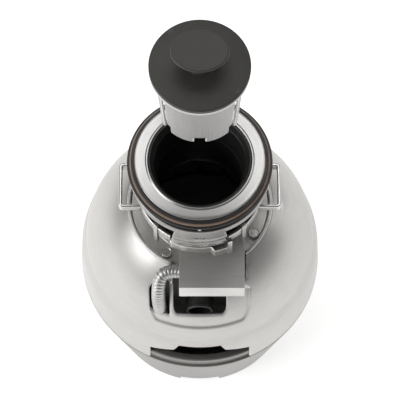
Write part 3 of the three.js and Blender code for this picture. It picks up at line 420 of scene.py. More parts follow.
def upper_metal(points):
    """Distance to the nearest of the conduit opening, the inlet window, the switch box notch and the
    tailpipe window, whose top edge slopes down each way from a raised middle 40 mm wide."""
    x, y, z = points[..., 0], points[..., 1], points[..., 2]
    radius = np.hypot(x, y)
    front = (y < 0) & (np.abs(x) < 70)
    conduit = np.minimum(rounded_box(x + 36.2, y + 86.5, 8.6, 15.2, 3.0), 96.8 - radius)
    window = rounded_box(x, y + 82.7 - 0.0033 * x ** 2, 24.3, 11.8, 4.5)
    box_notch = np.minimum(rounded_box(x - 8.5, y + 69, 33.5, 21, 1.0), z - 229)
    top = np.interp(np.abs(x), [19.5, 24.0, 46.6, 60.0], [157.0, 147.8, 136.8, 130.4])
    tailpipe = rounded_box(x, np.minimum(top - z, 60) - 50, 46.6, 50, 1.5)
    hole = np.maximum.reduce([conduit, window, box_notch, np.where(z < crease - 1, tailpipe, -50)])
    return np.where(front, -hole, 50)


upper_v = np.unique(np.concatenate([upper_step[::2], np.arange(0, upper_step[-1], 1.25)]))
upper_v = upper_v[np.concatenate([[True], np.diff(upper_v) > 0.22])]
points, faces = pressed_sheet(upper_place, angles_with_detail(-36, 36, 0.55, 3.0), upper_v, upper_metal,
                              curl=0.9)
make_piece("upper_casing", points, faces, satin_silver, replaces=["upper_shell"])


# ---- Lower shell ----------------------------------------------------------------------------
# Tapered casing round the motor, drawn from the same steel as the upper shell, with its colour painted
# darker as painted shade below the upper shell and away from the key light. Its shoulder carries the upper
# shell, its rim is turned inwards, and its foot has a notch for the supply cable.

base_radius, lower_height = 87.5, 124.5
notch_half, notch_height = 18.8, 16.0

# Painted shade: the upper shell's satin steel given a darker colour.
satin_painted_shade = finish("satin_painted_shade", turned_grain, (0.36, 0.35, 0.335), (0.30, 0.29, 0.28), (0.62, 0.61, 0.6),
                    stretch=(260, 5, 260), mottle_scale=11, mottle=0.5, edge_highlight_amount=0.5, rough=0.44, spread=0.12,
                    metallic=0.85, bump=0.03)

lower_profile = soften([
    (base_radius - 0.6, 0), (base_radius + 0.1, 0.8), (body_radius, upper_edge - 1.1),
    (body_radius - 0.6, upper_edge - 0.3),
    (body_radius - 2.3, upper_edge - 0.3), (body_radius - 2.3, lower_height - 1.0),
    (body_radius - 3.3, lower_height),
    (body_radius - 9.0, lower_height), (body_radius - 9.3, lower_height - 1.6),
], [0.5, 0.5, 0.5, 0.5, 0.6, 1.0, 1.0, 0.7, 0.5], closed=False)
lower_step, lower_path = path_of(lower_profile)


def lower_place(angle, s):
    """Profile point at length s along it, turned by the angle."""
    radius, height, _, _ = lower_path(s)
    return around(angle, radius, height)


def lower_metal(points):
    """Distance to the notch in the front of the foot."""
    x, y, z = points[..., 0], points[..., 1], points[..., 2]
    notch = rounded_box(x, z + 30 - notch_height, notch_half, 30, 3.0)
    return np.where((y < 0) & (z < 60), -notch, 50)


lower_v = np.unique(np.concatenate([lower_step, np.arange(0, 22, 0.9), np.arange(22, lower_step[-1], 3.0)]))
lower_v = lower_v[np.concatenate([[True], np.diff(lower_v) > 0.15])]
points, faces = pressed_sheet(lower_place, angles_with_detail(-16, 16, 0.6, 2.5), lower_v, lower_metal,
                              curl=0.5)
make_piece("lower_casing", points, faces, satin_painted_shade, replaces=["lower_shell"])


# ---- Sink flange ----------------------------------------------------------------------------
# Spun stainless flange that seats in the sink's outlet, with its sleeve going down through the sink.
# It is polished, and dished slightly towards a bright rolled lip.

flange_top, flange_radius, lip_radius, sleeve_radius = 339.5, 57.15, 45.4, 43.6


def turned(outline, sides=144, centre=(0, 0)):
    """A closed outline of (radius, height) carried round the Z axis, or round an axis through another
    centre. Points at radius 0 are one point."""
    outline = np.asarray(outline, float)
    angle = np.linspace(0, 2 * math.pi, sides, endpoint=False)[:, None]
    points = around(angle + 0 * outline[:, 0], outline[None, :, 0] + 0 * angle, outline[None, :, 1])
    index = np.arange(sides * len(outline)).reshape(sides, -1)
    pole = outline[:, 0] == 0
    index[:, pole] = index[0, pole]
    on_axis = bool(pole[0] and pole[-1])
    points = points.reshape(-1, 3) + np.array([*centre, 0])
    return points, [f for f in grid_faces(index, True, not on_axis) if len(f)]


polished = finish("polished_steel", turned_grain, (0.52, 0.515, 0.505), (0.46, 0.455, 0.447),
                  (0.95, 0.95, 0.95),
                  stretch=(900, 3, 900), mottle_scale=14, mottle=0.3, edge_highlight_amount=0.6, rough=0.32, spread=0.05,
                  bump=0.01)

flange_outline = soften([
    (flange_radius - 0.5, flange_top - 1.4), (flange_radius, flange_top - 1.0),
    (flange_radius - 0.4, flange_top - 0.3),
    (flange_radius - 2.2, flange_top), (lip_radius + 2.3, flange_top - 0.8),
    (lip_radius + 1.4, flange_top + 0.1),
    (lip_radius + 0.2, flange_top), (lip_radius - 0.3, flange_top - 1.2),
    (sleeve_radius - 1.2, flange_top - 6), (sleeve_radius - 1.2, flange_top - 50),
    (sleeve_radius, flange_top - 50), (sleeve_radius, flange_top - 6), (lip_radius + 1.0, flange_top - 1.8),
], [0.3, 0.3, 0.5, 1.2, 0.5, 0.6, 0.5, 0.4, 1.0, 0.4, 0.4, 1.0, 0.4])
points, faces = turned(flange_outline)
make_piece("flange", points, faces, polished, replaces=["sink_flange"])


# ---- Rings under the flange -----------------------------------------------------------------
# What clamps a sink between them: a rubber gasket, a tan fibre friction gasket and a black backup
# flange of moulded plastic, each a little wider than the one above. They are loose on the sleeve.

black_rubber = finish("black_rubber", turned_grain, (0.022, 0.021, 0.020), (0.012, 0.012, 0.012),
                      (0.06, 0.06, 0.06),
                      stretch=(300, 12, 300), mottle_scale=60, mottle=0.6, edge_highlight_amount=0.5, rough=0.42, spread=0.2,
                      metallic=0.0, bump=0.12)
tan_fibre = finish("tan_fibre", straight_grain, (0.50, 0.37, 0.29), (0.36, 0.26, 0.20), (0.6, 0.47, 0.38),
                   stretch=(1600, 1600, 4000), mottle_scale=220, mottle=0.5, edge_highlight_amount=0.3, rough=0.75,
                   spread=0.2,
                   metallic=0.0, bump=0.3)
black_plastic = finish("black_plastic", straight_grain, (0.035, 0.034, 0.033), (0.022, 0.022, 0.021),
                       (0.09, 0.09, 0.09),
                       stretch=(900, 900, 900), mottle_scale=40, mottle=0.4, edge_highlight_amount=0.5, rough=0.45,
                       spread=0.2,
                       metallic=0.0, bump=0.12)

stack_bore = lip_radius + 1.3
stack_top = flange_top - 1.7
for name, radius, thick, material, node, slot in (
    ("sink_gasket", flange_radius + 2.8, 2.3, black_rubber, "rubber_gasket", "black_rubber"),
    ("friction_gasket", flange_radius + 4.2, 1.2, tan_fibre, "fibre_gasket", "tan_fibre"),
    ("backing_flange", flange_radius + 6.4, 1.6, black_plastic, "backup_flange", "black_plastic"),
):
    low = stack_top - thick
    outline = soften([(stack_bore, low), (radius, low), (radius, stack_top), (stack_bore, stack_top)],
                     thick * 0.35)
    points, faces = turned(outline)
    make_piece(name, points, faces, material, replaces=[node])
    stack_top = low - 0.3


# ---- Upper mounting ring --------------------------------------------------------------------
# Zinc-plated pressing that hangs on the sleeve's snap ring. Its three tabs widen downwards and carry
# raised ribs that slope across them, which the lower ring climbs as it turns.

upper_ring_radius, upper_ring_top = 62.2, 322.0
tab_bottom = 289.5
tab_angles = np.radians([0, 140, 220])

zinc = finish("zinc_plate", straight_grain, (0.76, 0.755, 0.74), (0.58, 0.575, 0.56), (0.95, 0.95, 0.94),
              stretch=(500, 60, 500), mottle_scale=55, mottle=0.5, edge_highlight_amount=0.7, rough=0.30, spread=0.18,
              bump=0.06)

# Painted shade: the same zinc plate as the bayonet ring, painted darker for this ring under the flange
# stack, with a strong painted edge highlight.
zinc_painted_shade = finish("zinc_painted_shade", straight_grain, (0.36, 0.355, 0.345), (0.26, 0.255, 0.245),
                   (0.80, 0.80, 0.79),
                   stretch=(400, 60, 400), mottle_scale=45, mottle=0.5, edge_highlight_amount=0.9, rough=0.34, spread=0.18,
                   bump=0.06)

ring_profile = soften([
    (sleeve_radius + 0.5, upper_ring_top), (upper_ring_radius - 0.2, upper_ring_top),
    (upper_ring_radius, tab_bottom),
], [0.5, 1.6, 0.5], closed=False)[::-1]
ring_step, ring_path = path_of(ring_profile)


def nearest_turn(angle, centres):
    """Signed angle from the nearest of some centres."""
    away = (angle[..., None] - centres + math.pi) % (2 * math.pi) - math.pi
    return np.take_along_axis(away, np.abs(away).argmin(-1)[..., None], -1)[..., 0]


def upper_ring_place(angle, s):
    """Profile point turned by the angle, with two ribs pressed out of each tab: bumps 1.3 and 0.7 mm high in
    section whose height falls across the tab."""
    radius, height, out, _ = ring_path(s)
    across = nearest_turn(angle, tab_angles) * upper_ring_radius
    rib = tab_bottom + 4.8 + 0.06 * across
    bump = 1.3 * np.exp(-((height - rib) / 1.3) ** 2) + 0.7 * np.exp(-((height - rib - 8) / 1.1) ** 2)
    on_tab = ease((27 - np.abs(across)) / 3)
    return around(angle, radius + bump * on_tab * (out > 0.9), height)


def upper_ring_metal(points):
    """Distance inside the band, the tabs and the plate, clear of each tab's slot and screw notch."""
    x, y, z = points[..., 0], points[..., 1], points[..., 2]
    angle = np.arctan2(x, -y)
    across = nearest_turn(angle, tab_angles) * upper_ring_radius
    drop = upper_ring_top - z
    tab = 22 + drop * 4.5 / 32.5 - np.abs(across)
    band = 7.5 - drop
    slot = -rounded_box(across, drop - 15, 5.0, 1.3, 1.2)
    hole = -rounded_box(across - 2.5, drop - 21.5, 1.5, 1.5, 1.4)
    wall = np.minimum(np.minimum(np.maximum(tab, band), slot), hole)
    return np.where(drop > 1, wall, 50)


ring_v = np.unique(np.concatenate([ring_step, np.arange(0, ring_step[-1], 0.8)]))
ring_v = ring_v[np.concatenate([[True], np.diff(ring_v) > 0.15])]
points, faces = pressed_sheet(upper_ring_place, np.radians(np.arange(0, 360, 0.9)), ring_v,
                              upper_ring_metal,
                              thickness=1.4, curl=0.3)
make_piece("tab_ring", points, faces, zinc_painted_shade, replaces=["upper_mounting_ring"])


# ---- Mount screws ---------------------------------------------------------------------------
# Three slotted grub screws through the upper ring, which push the backup flange up against the sink.

screw_circle = 58.7


def threaded_rod(radius, low, high, centre, pitch=0.8, depth=0.22, sides=20):
    """A rod whose radius dips by `depth` along a helix of one pitch, with flat closed ends."""
    height = np.linspace(low, high, int((high - low) / pitch * 8))
    angle = np.linspace(0, 2 * math.pi, sides, endpoint=False)[:, None]
    wave = np.abs(((height[None] / pitch - angle / (2 * math.pi)) % 1) * 2 - 1)
    radius = np.concatenate([0 * angle, radius - depth * wave, 0 * angle], axis=1)
    height = np.concatenate([[low], height, [high]])[None]
    points = around(angle + 0 * radius, radius, height).reshape(-1, 3) + np.array([*centre, 0])
    index = np.arange(radius.size).reshape(radius.shape)
    index[:, 0], index[:, -1] = index[0, 0], index[0, -1]
    return points, [f for f in grid_faces(index, True) if len(f)]


for place, angle in zip(("front", "right", "left"), tab_angles):
    centre = around(np.array(angle), screw_circle, 0)[:2]
    points, faces = threaded_rod(1.7, upper_ring_top - 17, 331.2, centre)
    make_piece(f"clamp_screw_{place}", points, faces, zinc, replaces=[f"mount_screw_{place}"],
               crisp=60)


# ---- Lower mounting ring --------------------------------------------------------------------
# Pressed pan with a bayonet rim, which turns to lift the disposer on to the upper ring's ribs. It has
# three lobes with hooks, two finger loops welded on at the sides and two hanging catches.

low_ring_radius, low_ring_top, low_ring_bottom = 56.0, 282.9, 269.9


def lobe_radius(angle):
    """Radius of the pan's wall: 56 mm, 60.6 mm in a lobe of 39 degrees under each tab, and 65 mm in
    the hook pocket beside it, joined by smooth steps."""
    turn = np.degrees(nearest_turn(angle, tab_angles))
    lobe = ease((turn + 29) / 4) * ease((28 - turn) / 4)
    pocket = ease((turn - 9) / 3) * ease((28 - turn) / 4)
    return low_ring_radius + 4.6 * lobe + 4.4 * pocket


pan_bore, pan_bend, pan_roll = 48.6, 2.0, 0.8


def pan_place(angle, s):
    """Across the floor from the bore to the wall for s from 0 to 1, round a 2 mm bend from 1 to 2, up
    the wall from 2 to 3 and over its rolled edge from 3 to 3.5."""
    wall = lobe_radius(angle)
    bend = np.clip(s - 1, 0, 1) * math.pi / 2
    radius = pan_bore + (wall - pan_bend - pan_bore) * np.clip(s, 0, 1) + pan_bend * np.sin(bend)
    rise = low_ring_top - low_ring_bottom - pan_bend - pan_roll
    height = low_ring_bottom + pan_bend - pan_bend * np.cos(bend) + rise * np.clip(s - 2, 0, 1)
    roll = np.clip(s - 3, 0, 0.5) * math.pi
    return around(angle, radius - pan_roll + pan_roll * np.cos(roll), height + pan_roll * np.sin(roll))


pan_v = np.concatenate([
    np.linspace(0, 1, 8)[:-1], np.linspace(1, 2, 6)[:-1], np.linspace(2, 3, 9)[:-1],
    np.linspace(3, 3.5, 4)])
pan_points, pan_faces = pressed_sheet(pan_place, np.radians(np.arange(0, 360, 1.0)), pan_v, thickness=1.5)


def bar(path, width, thick, round_off=0.3):
    """A strip of rectangular section with softened corners, carried level along a path of points: the
    section stands `width` high and `thick` across. Its ends are closed."""
    path = np.asarray(path, float)
    along = np.gradient(path, axis=0)
    along /= np.linalg.norm(along, axis=1, keepdims=True)
    flat = along[:, :2] / np.maximum(np.linalg.norm(along[:, :2], axis=1, keepdims=True), 1e-9)
    across = np.stack([flat[:, 1], -flat[:, 0], 0 * flat[:, 0]], axis=1)
    up = np.cross(across, along)
    corner = soften([(-thick / 2, -width / 2), (thick / 2, -width / 2), (thick / 2, width / 2),
                     (-thick / 2, width / 2)],
                    round_off, 4)
    ring = path[:, None] + across[:, None] * corner[None, :, :1] + up[:, None] * corner[None, :, 1:]
    ends = np.stack([path[0], path[-1]])
    count = len(corner)
    index = np.arange(len(path) * count).reshape(len(path), count)
    quads = grid_faces(index, False, True)[0][:, ::-1]
    first, last = len(path) * count, len(path) * count + 1
    near, far = index[0], index[-1]
    cap_near = np.stack([np.roll(near, -1), near, np.full(count, first)], axis=1)[:, ::-1]
    cap_far = np.stack([far, np.roll(far, -1), np.full(count, last)], axis=1)[:, ::-1]
    return np.concatenate([ring.reshape(-1, 3), ends]), [quads, cap_near, cap_far]


def joined(*shapes):
    """Several (points, faces) as one."""
    points, faces, start = [], [], 0
    for shape_points, shape_faces in shapes:
        points.append(shape_points)
        faces += [f + start for f in shape_faces]
        start += len(shape_points)
    return np.concatenate(points), faces


def bent_line(corners, cut, steps=5):
    """A level path through some (x, y) corners at one height, each corner rounded."""
    flat = soften([c[:2] for c in corners], cut, steps, closed=False)
    return np.column_stack([flat, np.full(len(flat), corners[0][2])])


def finger_loop(side):
    """A flat bar bent round three sides of a rectangle, its open ends on the pan's wall."""
    z = low_ring_bottom + 9
    reach, half = low_ring_radius + 14.6, 19.8
    corners = [(50.5 * side, -half, z), (reach * side, -half, z), (reach * side, half, z),
               (50.5 * side, half, z)]
    return bar(bent_line(corners, 2.2), 8.6, 3.2, 1.3)


def wall_catch(angle, low, high, radius, width=4.4, thick=2.2):
    """An upright tab on the pan's wall at an angle, given in degrees."""
    middle = around(np.radians(angle), radius, (low + high) / 2)
    tangent = np.array([math.cos(math.radians(angle)), math.sin(math.radians(angle)), 0])
    return bar([middle - tangent * width / 2, middle, middle + tangent * width / 2], high - low, thick)


loops = [finger_loop(side) for side in (-1, 1)]
hooks = []
for turn in np.degrees(tab_angles):
    hooks.append(wall_catch(turn + 23.6, low_ring_bottom + 1, 298.0, upper_ring_radius + 3.2, thick=1.8))
    hooks.append(wall_catch(turn + 23.6, 296.0, 298.0, upper_ring_radius + 2.1, thick=3.2))
catches = [wall_catch(side * 43.5, 254.6, low_ring_top + 6, low_ring_radius + 0.3) for side in (-1, 1)]
points, faces = joined((pan_points, pan_faces), *loops, *hooks, *catches)
make_piece("bayonet_ring", points, faces, zinc, body="mounting_ring", replaces=["lower_mounting_ring"])


# ---- Mounting gasket and splash baffle ------------------------------------------------------
# Moulded black rubber. The gasket seals the neck to the sleeve; the baffle lines the throat, its top
# edge resting inside the flange's lip, and narrows to a ring half way down.

gasket_bottom, gasket_seat = 275.8, 289.2
outline = soften([
    (41.1, gasket_bottom), (51, gasket_bottom), (51, gasket_seat + 2), (48, gasket_seat + 7),
    (43.9, gasket_seat + 7),
    (43.9, gasket_seat), (41.1, gasket_seat)], 1.0)
points, faces = turned(outline)
make_piece("neck_gasket", points, faces, black_rubber, replaces=["mounting_gasket"])

throat_radius, throat_ring, baffle_bottom = 38.2, 301.5, 254.5
baffle_bore = sleeve_radius - 1.5
outline = soften([
    (lip_radius - 0.4, flange_top - 1.1), (baffle_bore, flange_top - 6.3), (baffle_bore, flange_top - 18),
    (throat_radius + 1.6, throat_ring), (throat_radius + 1.6, baffle_bottom),
    (throat_radius, baffle_bottom),
    (throat_radius, throat_ring - 1.2), (throat_radius - 0.9, throat_ring),
    (throat_radius, throat_ring + 1.4),
    (baffle_bore - 1.9, flange_top - 9.0), (baffle_bore - 0.7, flange_top - 7.6),
    (baffle_bore - 1.4, flange_top - 6.4),
    (lip_radius - 1.8, flange_top - 1.1),
], 0.5)[::-1]
points, faces = turned(outline)
make_piece("throat_liner", points, faces, black_rubber, replaces=["splash_baffle"])


# ---- Container top --------------------------------------------------------------------------
# Cast alloy collar that carries the neck. Its level annulus lies inside the dome's mouth, with four
# flat-headed studs that hold it to the chamber.

cast_alloy = finish("cast_alloy", straight_grain, (0.58, 0.575, 0.56), (0.46, 0.455, 0.44),
                    (0.75, 0.75, 0.74),
                    stretch=(350, 350, 350), mottle_scale=28, mottle=0.5, edge_highlight_amount=0.7, rough=0.42, spread=0.2,
                    metallic=0.9, bump=0.25)
container_top, neck_flange, neck_radius = 240.0, 272.0, 47.0
seam = 184.0
outline = soften([
    (43.5, container_top - 3), (43.5, neck_flange + 3.5), (52, neck_flange + 3.5), (52, neck_flange + 0.3),
    (neck_radius, neck_flange + 0.3), (neck_radius, container_top), (62.3, container_top),
    (63.3, container_top - 12),
    (76, seam + 5), (79, seam + 4), (79, seam + 0.3), (72.5, seam + 0.3), (72.5, seam + 4),
    (59.8, container_top - 14),
    (59.3, container_top - 3),
], [1, 0.6, 0.6, 0.6, 1.5, 2.0, 1.0, 1, 1, 0.6, 0.6, 0.6, 1, 1, 1])[::-1]
points, faces = turned(outline)
make_piece("collar", points, faces, cast_alloy, replaces=["container_top"])

stud_profile = soften([(0, container_top - 6), (2.4, container_top - 6), (2.4, container_top + 0.3),
                       (5.0, container_top + 0.3),
                       (5.0, container_top + 3.2), (4.4, container_top + 3.9), (3.9, container_top + 3.5),
                       (0, container_top + 3.5)],
                      0.35, closed=False)
for number, angle in enumerate(np.radians([-31.5, 58.5, 148.5, 238.5]), 1):
    points, faces = turned(stud_profile, 40, around(angle, 57.2, 0)[:2])
    make_piece(f"collar_stud_{number}", points, faces, zinc, replaces=[f"container_stud_{number}"])


# ---- Switch box -----------------------------------------------------------------------------
# Folded steel box at the front of the collar, which hides the switch that the cover's magnet works.
# The cover is brushed across; the tray under it is plain plated sheet.

brushed_sheet = finish("brushed_sheet", straight_grain, (0.62, 0.615, 0.60), (0.53, 0.525, 0.51),
                       (0.95, 0.95, 0.94),
                       stretch=(40, 900, 900), mottle_scale=24, mottle=0.35, edge_highlight_amount=1.0, rough=0.58,
                       spread=0.08,
                       bump=0.04)


def eased_copy(node, name, width, material, body="root", steps=3):
    """The CAD node's own mesh, its loose corners merged and its flat faces joined, with every sharp
    edge rounded by a bevel of a width in metres."""
    source = nodes[node]
    mesh = source.data.copy()
    mesh.name = name
    mesh.transform(source.matrix_world)
    mesh.materials.clear()
    mesh.materials.append(material)
    piece = bpy.data.objects.new(name, mesh)
    scene.collection.objects.link(piece)
    work = bmesh.new()
    work.from_mesh(mesh)
    bmesh.ops.remove_doubles(work, verts=work.verts, dist=1e-6)
    bmesh.ops.dissolve_limit(work, angle_limit=math.radians(1), verts=work.verts, edges=work.edges)
    work.to_mesh(mesh)
    work.free()
    bevel = piece.modifiers.new("round", "BEVEL")
    bevel.width, bevel.segments, bevel.limit_method = width, steps, "ANGLE"
    bevel.angle_limit = math.radians(32)
    bevel.harden_normals = True
    mesh.shade_smooth()
    mesh.set_sharp_from_angle(angle=math.radians(40))
    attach(piece, body)
    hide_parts(node)
    return piece


eased_copy("switch_box_cover", "box_cover", 0.0011, brushed_sheet, steps=4)
eased_copy("switch_box", "box_tray", 0.0004, zinc)


# ---- Armoured conduit -----------------------------------------------------------------------
# Galvanised steel strip wound into an interlocked tube. It leaves the box's left side, turns down over
# the dome and goes through the panel to the motor's terminal box. A connector grips each end.

entry_y, entry_z = -67.5, 244.15
conduit_route = np.array([
    (-18.0, entry_y, entry_z), (-23.5, entry_y, entry_z), (-28, -68, entry_z - 0.3),
    (-32.6, -69.8, entry_z - 1.6),
    (-35.6, -73.5, entry_z - 5), (-36.9, -78.5, entry_z - 11.5), (-37.3, -82.5, entry_z - 20),
    (-37, -84.8, entry_z - 29), (-36.4, -84.9, entry_z - 41), (-35.6, -84.1, entry_z - 55),
    (-35, -83, entry_z - 72), (-35, -83, 122),
])
conduit_radius, strip_pitch = 6.25, 3.0


def smooth_route(corners, spacing):
    """Catmull-Rom curve through points, evenly spaced along its length."""
    padded = np.vstack([2 * corners[0] - corners[1], corners, 2 * corners[-1] - corners[-2]])
    a, b, c, d = padded[:-3, None], padded[1:-2, None], padded[2:-1, None], padded[3:, None]
    t = np.linspace(0, 1, 40, endpoint=False)[None, :, None]
    curve = 0.5 * (2 * b + (c - a) * t + (2 * a - 5 * b + 4 * c - d) * t ** 2
                   + (3 * b - a - 3 * c + d) * t ** 3)
    curve = np.vstack([curve.reshape(-1, 3), corners[-1:]])
    run = np.concatenate([[0], np.cumsum(np.linalg.norm(np.diff(curve, axis=0), axis=1))])
    even = np.arange(0, run[-1], spacing)
    return even, np.stack([np.interp(even, run, curve[:, k]) for k in range(3)], axis=1)


def wound_tube(corners, radius, pitch, sides=40):
    """Tube round a smooth route whose radius rises and falls along a helix: each turn of the strip is a
    rounded hump that drops quickly at its overlap. Its ends are closed."""
    run, middle = smooth_route(corners, pitch / 12)
    along = np.gradient(middle, axis=0)
    along /= np.linalg.norm(along, axis=1, keepdims=True)
    across = np.cross(along, (0, 1, 0))
    across /= np.linalg.norm(across, axis=1, keepdims=True)
    up = np.cross(along, across)
    angle = np.linspace(0, 2 * math.pi, sides, endpoint=False)
    phase = (run[:, None] / pitch + angle[None] / (2 * math.pi)) % 1
    hump = np.sin(math.pi * phase ** 0.75) ** 0.6
    swell = radius - 0.55 + 0.55 * hump
    ring = middle[:, None] + swell[..., None] * (
        across[:, None] * np.cos(angle)[None, :, None] + up[:, None] * np.sin(angle)[None, :, None])
    index = np.arange(swell.size).reshape(swell.shape)
    ends = np.array([[swell.size], [swell.size + 1]])
    near = np.stack([np.roll(index[0], -1), index[0], np.full(sides, ends[0])], axis=1)
    far = np.stack([index[-1], np.roll(index[-1], -1), np.full(sides, ends[1])], axis=1)
    quads = grid_faces(index, False, True)[0]
    return np.concatenate([ring.reshape(-1, 3), middle[:1], middle[-1:]]), [quads[:, ::-1], near[:, ::-1],
        far[:, ::-1]]


galvanised = finish("galvanised_strip", straight_grain, (0.60, 0.60, 0.59), (0.50, 0.50, 0.49),
                    (0.85, 0.85, 0.85),
                    stretch=(300, 300, 300), mottle_scale=90, mottle=0.6, edge_highlight_amount=0.4, rough=0.42,
                    spread=0.15, bump=0.05)
points, faces = wound_tube(conduit_route, conduit_radius, strip_pitch)
make_piece("armoured_tube", points, faces, galvanised, replaces=["conduit"], crisp=70)


# ---- Dishwasher inlet and discharge outlet --------------------------------------------------
# Moulded stubs. The inlet's mouth stands in the panel's window, and the rubber outlet faces the window
# in the band, where the tailpipe is bolted on.

inlet_axis, inlet_radius, inlet_reach = 200.0, 11.7, 89.0
outlet_axis, outlet_radius, outlet_reach = 141.0, 19.5, 97.0


def turned_forward(outline, height, sides=72):
    """A closed outline of (radius, distance to the front) carried round a level axis at a height."""
    points, faces = turned(outline, sides)
    return np.stack([points[:, 0], -points[:, 2], points[:, 1] + height], axis=1), faces


outline = soften([(inlet_radius - 1.7, 64), (inlet_radius, 64), (inlet_radius, inlet_reach - 3.2),
                  (inlet_radius + 0.7, inlet_reach - 2.6), (inlet_radius + 0.7, inlet_reach - 0.6),
                  (inlet_radius + 0.2, inlet_reach), (inlet_radius - 1.7, inlet_reach)], 0.4)
points, faces = turned_forward(outline, inlet_axis)
make_piece("dishwasher_stub", points, faces, black_plastic, replaces=["dishwasher_inlet"])
outline = soften([(outlet_radius - 3, 80.4), (outlet_radius + 6, 80.4), (outlet_radius + 6, 84.4),
                  (outlet_radius, 84.8),
                  (outlet_radius, outlet_reach - 4), (outlet_radius + 1.2, outlet_reach - 3),
                  (outlet_radius + 1.2, outlet_reach),
                  (outlet_radius - 3, outlet_reach)], 0.7)
points, faces = turned_forward(outline, outlet_axis)
make_piece("discharge_stub", points, faces, black_rubber, replaces=["discharge_outlet"])


# ---- Cover ----------------------------------------------------------------------------------
# What closes the throat and starts the motor. A charcoal moulded plate and oval grip are screwed on to
# a tapered skirt of brushed steel, which has a magnet at the front and the rear and is open at its sides.

cover_under = 520.5
plate_rim = cover_under + 4
charcoal = finish("charcoal_plastic", straight_grain, (0.060, 0.057, 0.050), (0.044, 0.042, 0.037),
                  (0.085, 0.083, 0.078),
                  stretch=(2600, 2600, 2600), mottle_scale=16, mottle=0.25, edge_highlight_amount=0.8, rough=0.46,
                  spread=0.15,
                  metallic=0.0, bump=0.22)
outline = soften(np.vstack([
    [(0, cover_under), (40.4, cover_under), (41.2, cover_under + 0.8), (41.2, plate_rim - 0.9)],
    dome_curve((40.5, plate_rim - 0.1), (10.8, plate_rim + 3.5), 9), [(0, plate_rim + 3.5)]]), 0.5, 4,
    closed=False)
points, faces = turned(outline)
make_piece("cover_plate", points, faces, charcoal, body="cover", replaces=["cover_top"])

stem_foot = plate_rim + 3.8
grip_under = stem_foot + 13.5
outline = soften([(0, stem_foot), (11.2, stem_foot), (9.8, stem_foot + 1.6), (9.4, grip_under - 3),
                  (12.5, grip_under + 0.5),
                  (19.5, grip_under + 2.0), (22.6, grip_under + 4.6), (23.5, grip_under + 6.6),
                  (23.2, grip_under + 7.9),
                  (22.3, grip_under + 8.4), (0, grip_under + 8.5)],
                 [0, 0.5, 1.5, 2.5, 2.5, 2.0, 1.0, 0.8, 0.3, 0.5, 0], 6, closed=False)
points, faces = turned(outline)
flatten = 1 - (1 - 37 / 47) * ease((points[:, 2] - grip_under + 3) / 5)
points[:, 1] *= flatten
make_piece("cover_grip", points, faces, charcoal, body="cover", replaces=["cover_knob"])

skirt_top, skirt_bottom = cover_under - 0.3, cover_under - 66.7
brushed_skirt = finish("brushed_skirt", turned_grain, (0.30, 0.296, 0.29), (0.25, 0.246, 0.24),
                       (0.70, 0.70, 0.69),
                       stretch=(60, 70, 14), mottle_scale=20, mottle=0.25, edge_highlight_amount=0.8, rough=0.28,
                       spread=0.08, bump=0.02)


def skirt_place(angle, s):
    """Straight taper from the skirt's bottom, s 0, to its top."""
    share = s / (skirt_top - skirt_bottom)
    return around(angle, 35.5 + 4.1 * share, skirt_bottom + s)


def skirt_metal(points):
    """Distance inside two panels of 47 degrees each side of the front and the rear, with stepped lower
    corners and a notch, the narrow posts past them, and the band above that joins them."""
    x, y, z = points[..., 0], points[..., 1], points[..., 2]
    turn = np.abs(np.degrees(nearest_turn(np.arctan2(x, -y), np.array([0, math.pi]))))
    mm = 0.65
    height = z - skirt_bottom
    panel = (47.4 - turn) * mm
    step = np.maximum((42.0 - turn) * mm, height - 11)
    notch = np.maximum((turn - 7.5) * mm, height - 8)
    post = np.minimum((turn - 53.6) * mm, (60.6 - turn) * mm)
    wall = np.maximum(np.minimum(np.minimum(panel, step), notch), post)
    return np.maximum(wall, z - (skirt_top - 8))


skirt_v = np.concatenate([np.arange(0, 16, 0.8), np.arange(16, 54, 3), np.arange(54, 66.4, 0.8), [66.4]])
skirt_shape = pressed_sheet(skirt_place, np.radians(np.arange(0, 360, 1.0)), skirt_v, skirt_metal,
                            thickness=1.6, curl=0.35)
web = soften([(20, skirt_top - 3), (38.6, skirt_top - 3), (38.6, skirt_top), (20, skirt_top)], 0.5)
points, faces = joined(skirt_shape, turned(web, 120))
make_piece("cover_cup", points, faces, brushed_skirt, body="cover", replaces=["cover_skirt"])

outline = soften([(39.9, skirt_top - 3.4), (41.0, skirt_top - 3.4), (41.0, skirt_top), (39.9, skirt_top)],
                 0.35)
points, faces = turned(outline)
make_piece("seat_band", points, faces, polished, body="cover_seat", replaces=["cover_seat_ring"])


# ---- Everything inside, kept as it was designed ---------------------------------------------
# Cast and turned parts of the chamber and the motor, fasteners and small mouldings. Their shapes are
# the design's own; each takes the finish of what it is made of.

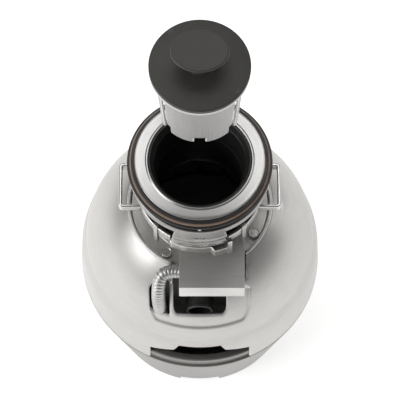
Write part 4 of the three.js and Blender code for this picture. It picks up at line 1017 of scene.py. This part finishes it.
worn_steel = finish("worn_steel", turned_grain, (0.16, 0.155, 0.15), (0.09, 0.088, 0.085), (0.4, 0.4, 0.39),
                    stretch=(300, 5, 300), mottle_scale=30, mottle=0.5, edge_highlight_amount=0.5, rough=0.5, spread=0.2,
                    bump=0.1)
dark_foam = finish("dark_foam", straight_grain, (0.110, 0.107, 0.100), (0.045, 0.044, 0.041),
                   (0.15, 0.15, 0.14),
                   stretch=(1500, 1500, 1500), mottle_scale=420, mottle=0.5, edge_highlight_amount=0.3, rough=0.92,
                   spread=0.1,
                   metallic=0.0, bump=0.5)
lamination = finish("lamination_steel", straight_grain, (0.30, 0.31, 0.32), (0.20, 0.205, 0.21),
                    (0.5, 0.5, 0.5),
                    stretch=(30, 30, 2400), mottle_scale=30, mottle=0.3, edge_highlight_amount=0.4, rough=0.5, spread=0.2,
                    bump=0.3)
copper = finish("copper_winding", turned_grain, (0.60, 0.27, 0.12), (0.38, 0.15, 0.06), (0.8, 0.45, 0.25),
                stretch=(1400, 4, 1400), mottle_scale=30, mottle=0.3, edge_highlight_amount=0.4, rough=0.35, spread=0.15,
                metallic=0.9, bump=0.6)
nickel = finish("nickel_magnet", straight_grain, (0.62, 0.60, 0.57), (0.50, 0.48, 0.46), (0.8, 0.8, 0.78),
                stretch=(200, 200, 200), mottle_scale=70, mottle=0.5, edge_highlight_amount=0.6, rough=0.22, spread=0.1,
                bump=0.03)
reset_red = finish("reset_red", straight_grain, (0.55, 0.030, 0.022), (0.42, 0.022, 0.016),
                   (0.7, 0.12, 0.1),
                   stretch=(800, 800, 800), mottle_scale=90, mottle=0.5, edge_highlight_amount=0.4, rough=0.35, spread=0.15,
                   metallic=0.0, bump=0.08)

kept = {
    "grind_chamber": cast_alloy, "upper_end_frame": cast_alloy, "lower_end_frame": cast_alloy,
    "grind_ring": worn_steel, "turntable": worn_steel, "impeller_right": worn_steel,
    "impeller_left": worn_steel,
    "motor_shaft": polished, "turntable_nut": zinc, "impeller_pin_right": zinc, "impeller_pin_left": zinc,
    "upper_bearing": zinc, "lower_bearing": zinc, "through_bolt_right": zinc, "through_bolt_left": zinc,
    "snap_ring": zinc, "knob_screw": zinc, "stator_core": lamination, "rotor_core": lamination,
    "stator_winding": copper, "cover_magnet_front": nickel, "cover_magnet_rear": nickel,
    "reset_button": reset_red, "insulation_jacket": dark_foam, "shaft_seal": black_rubber,
    "centrifugal_actuator": black_plastic, "start_switch": black_plastic,
    "overload_protector": black_plastic,
    "base_plate": black_plastic, "terminal_box": black_plastic, "reed_switch": black_plastic,
    "box_connector": galvanised, "terminal_connector": galvanised,
}
for node, material in kept.items():
    mesh = nodes[node].data
    mesh.materials.clear()
    mesh.materials.append(material)
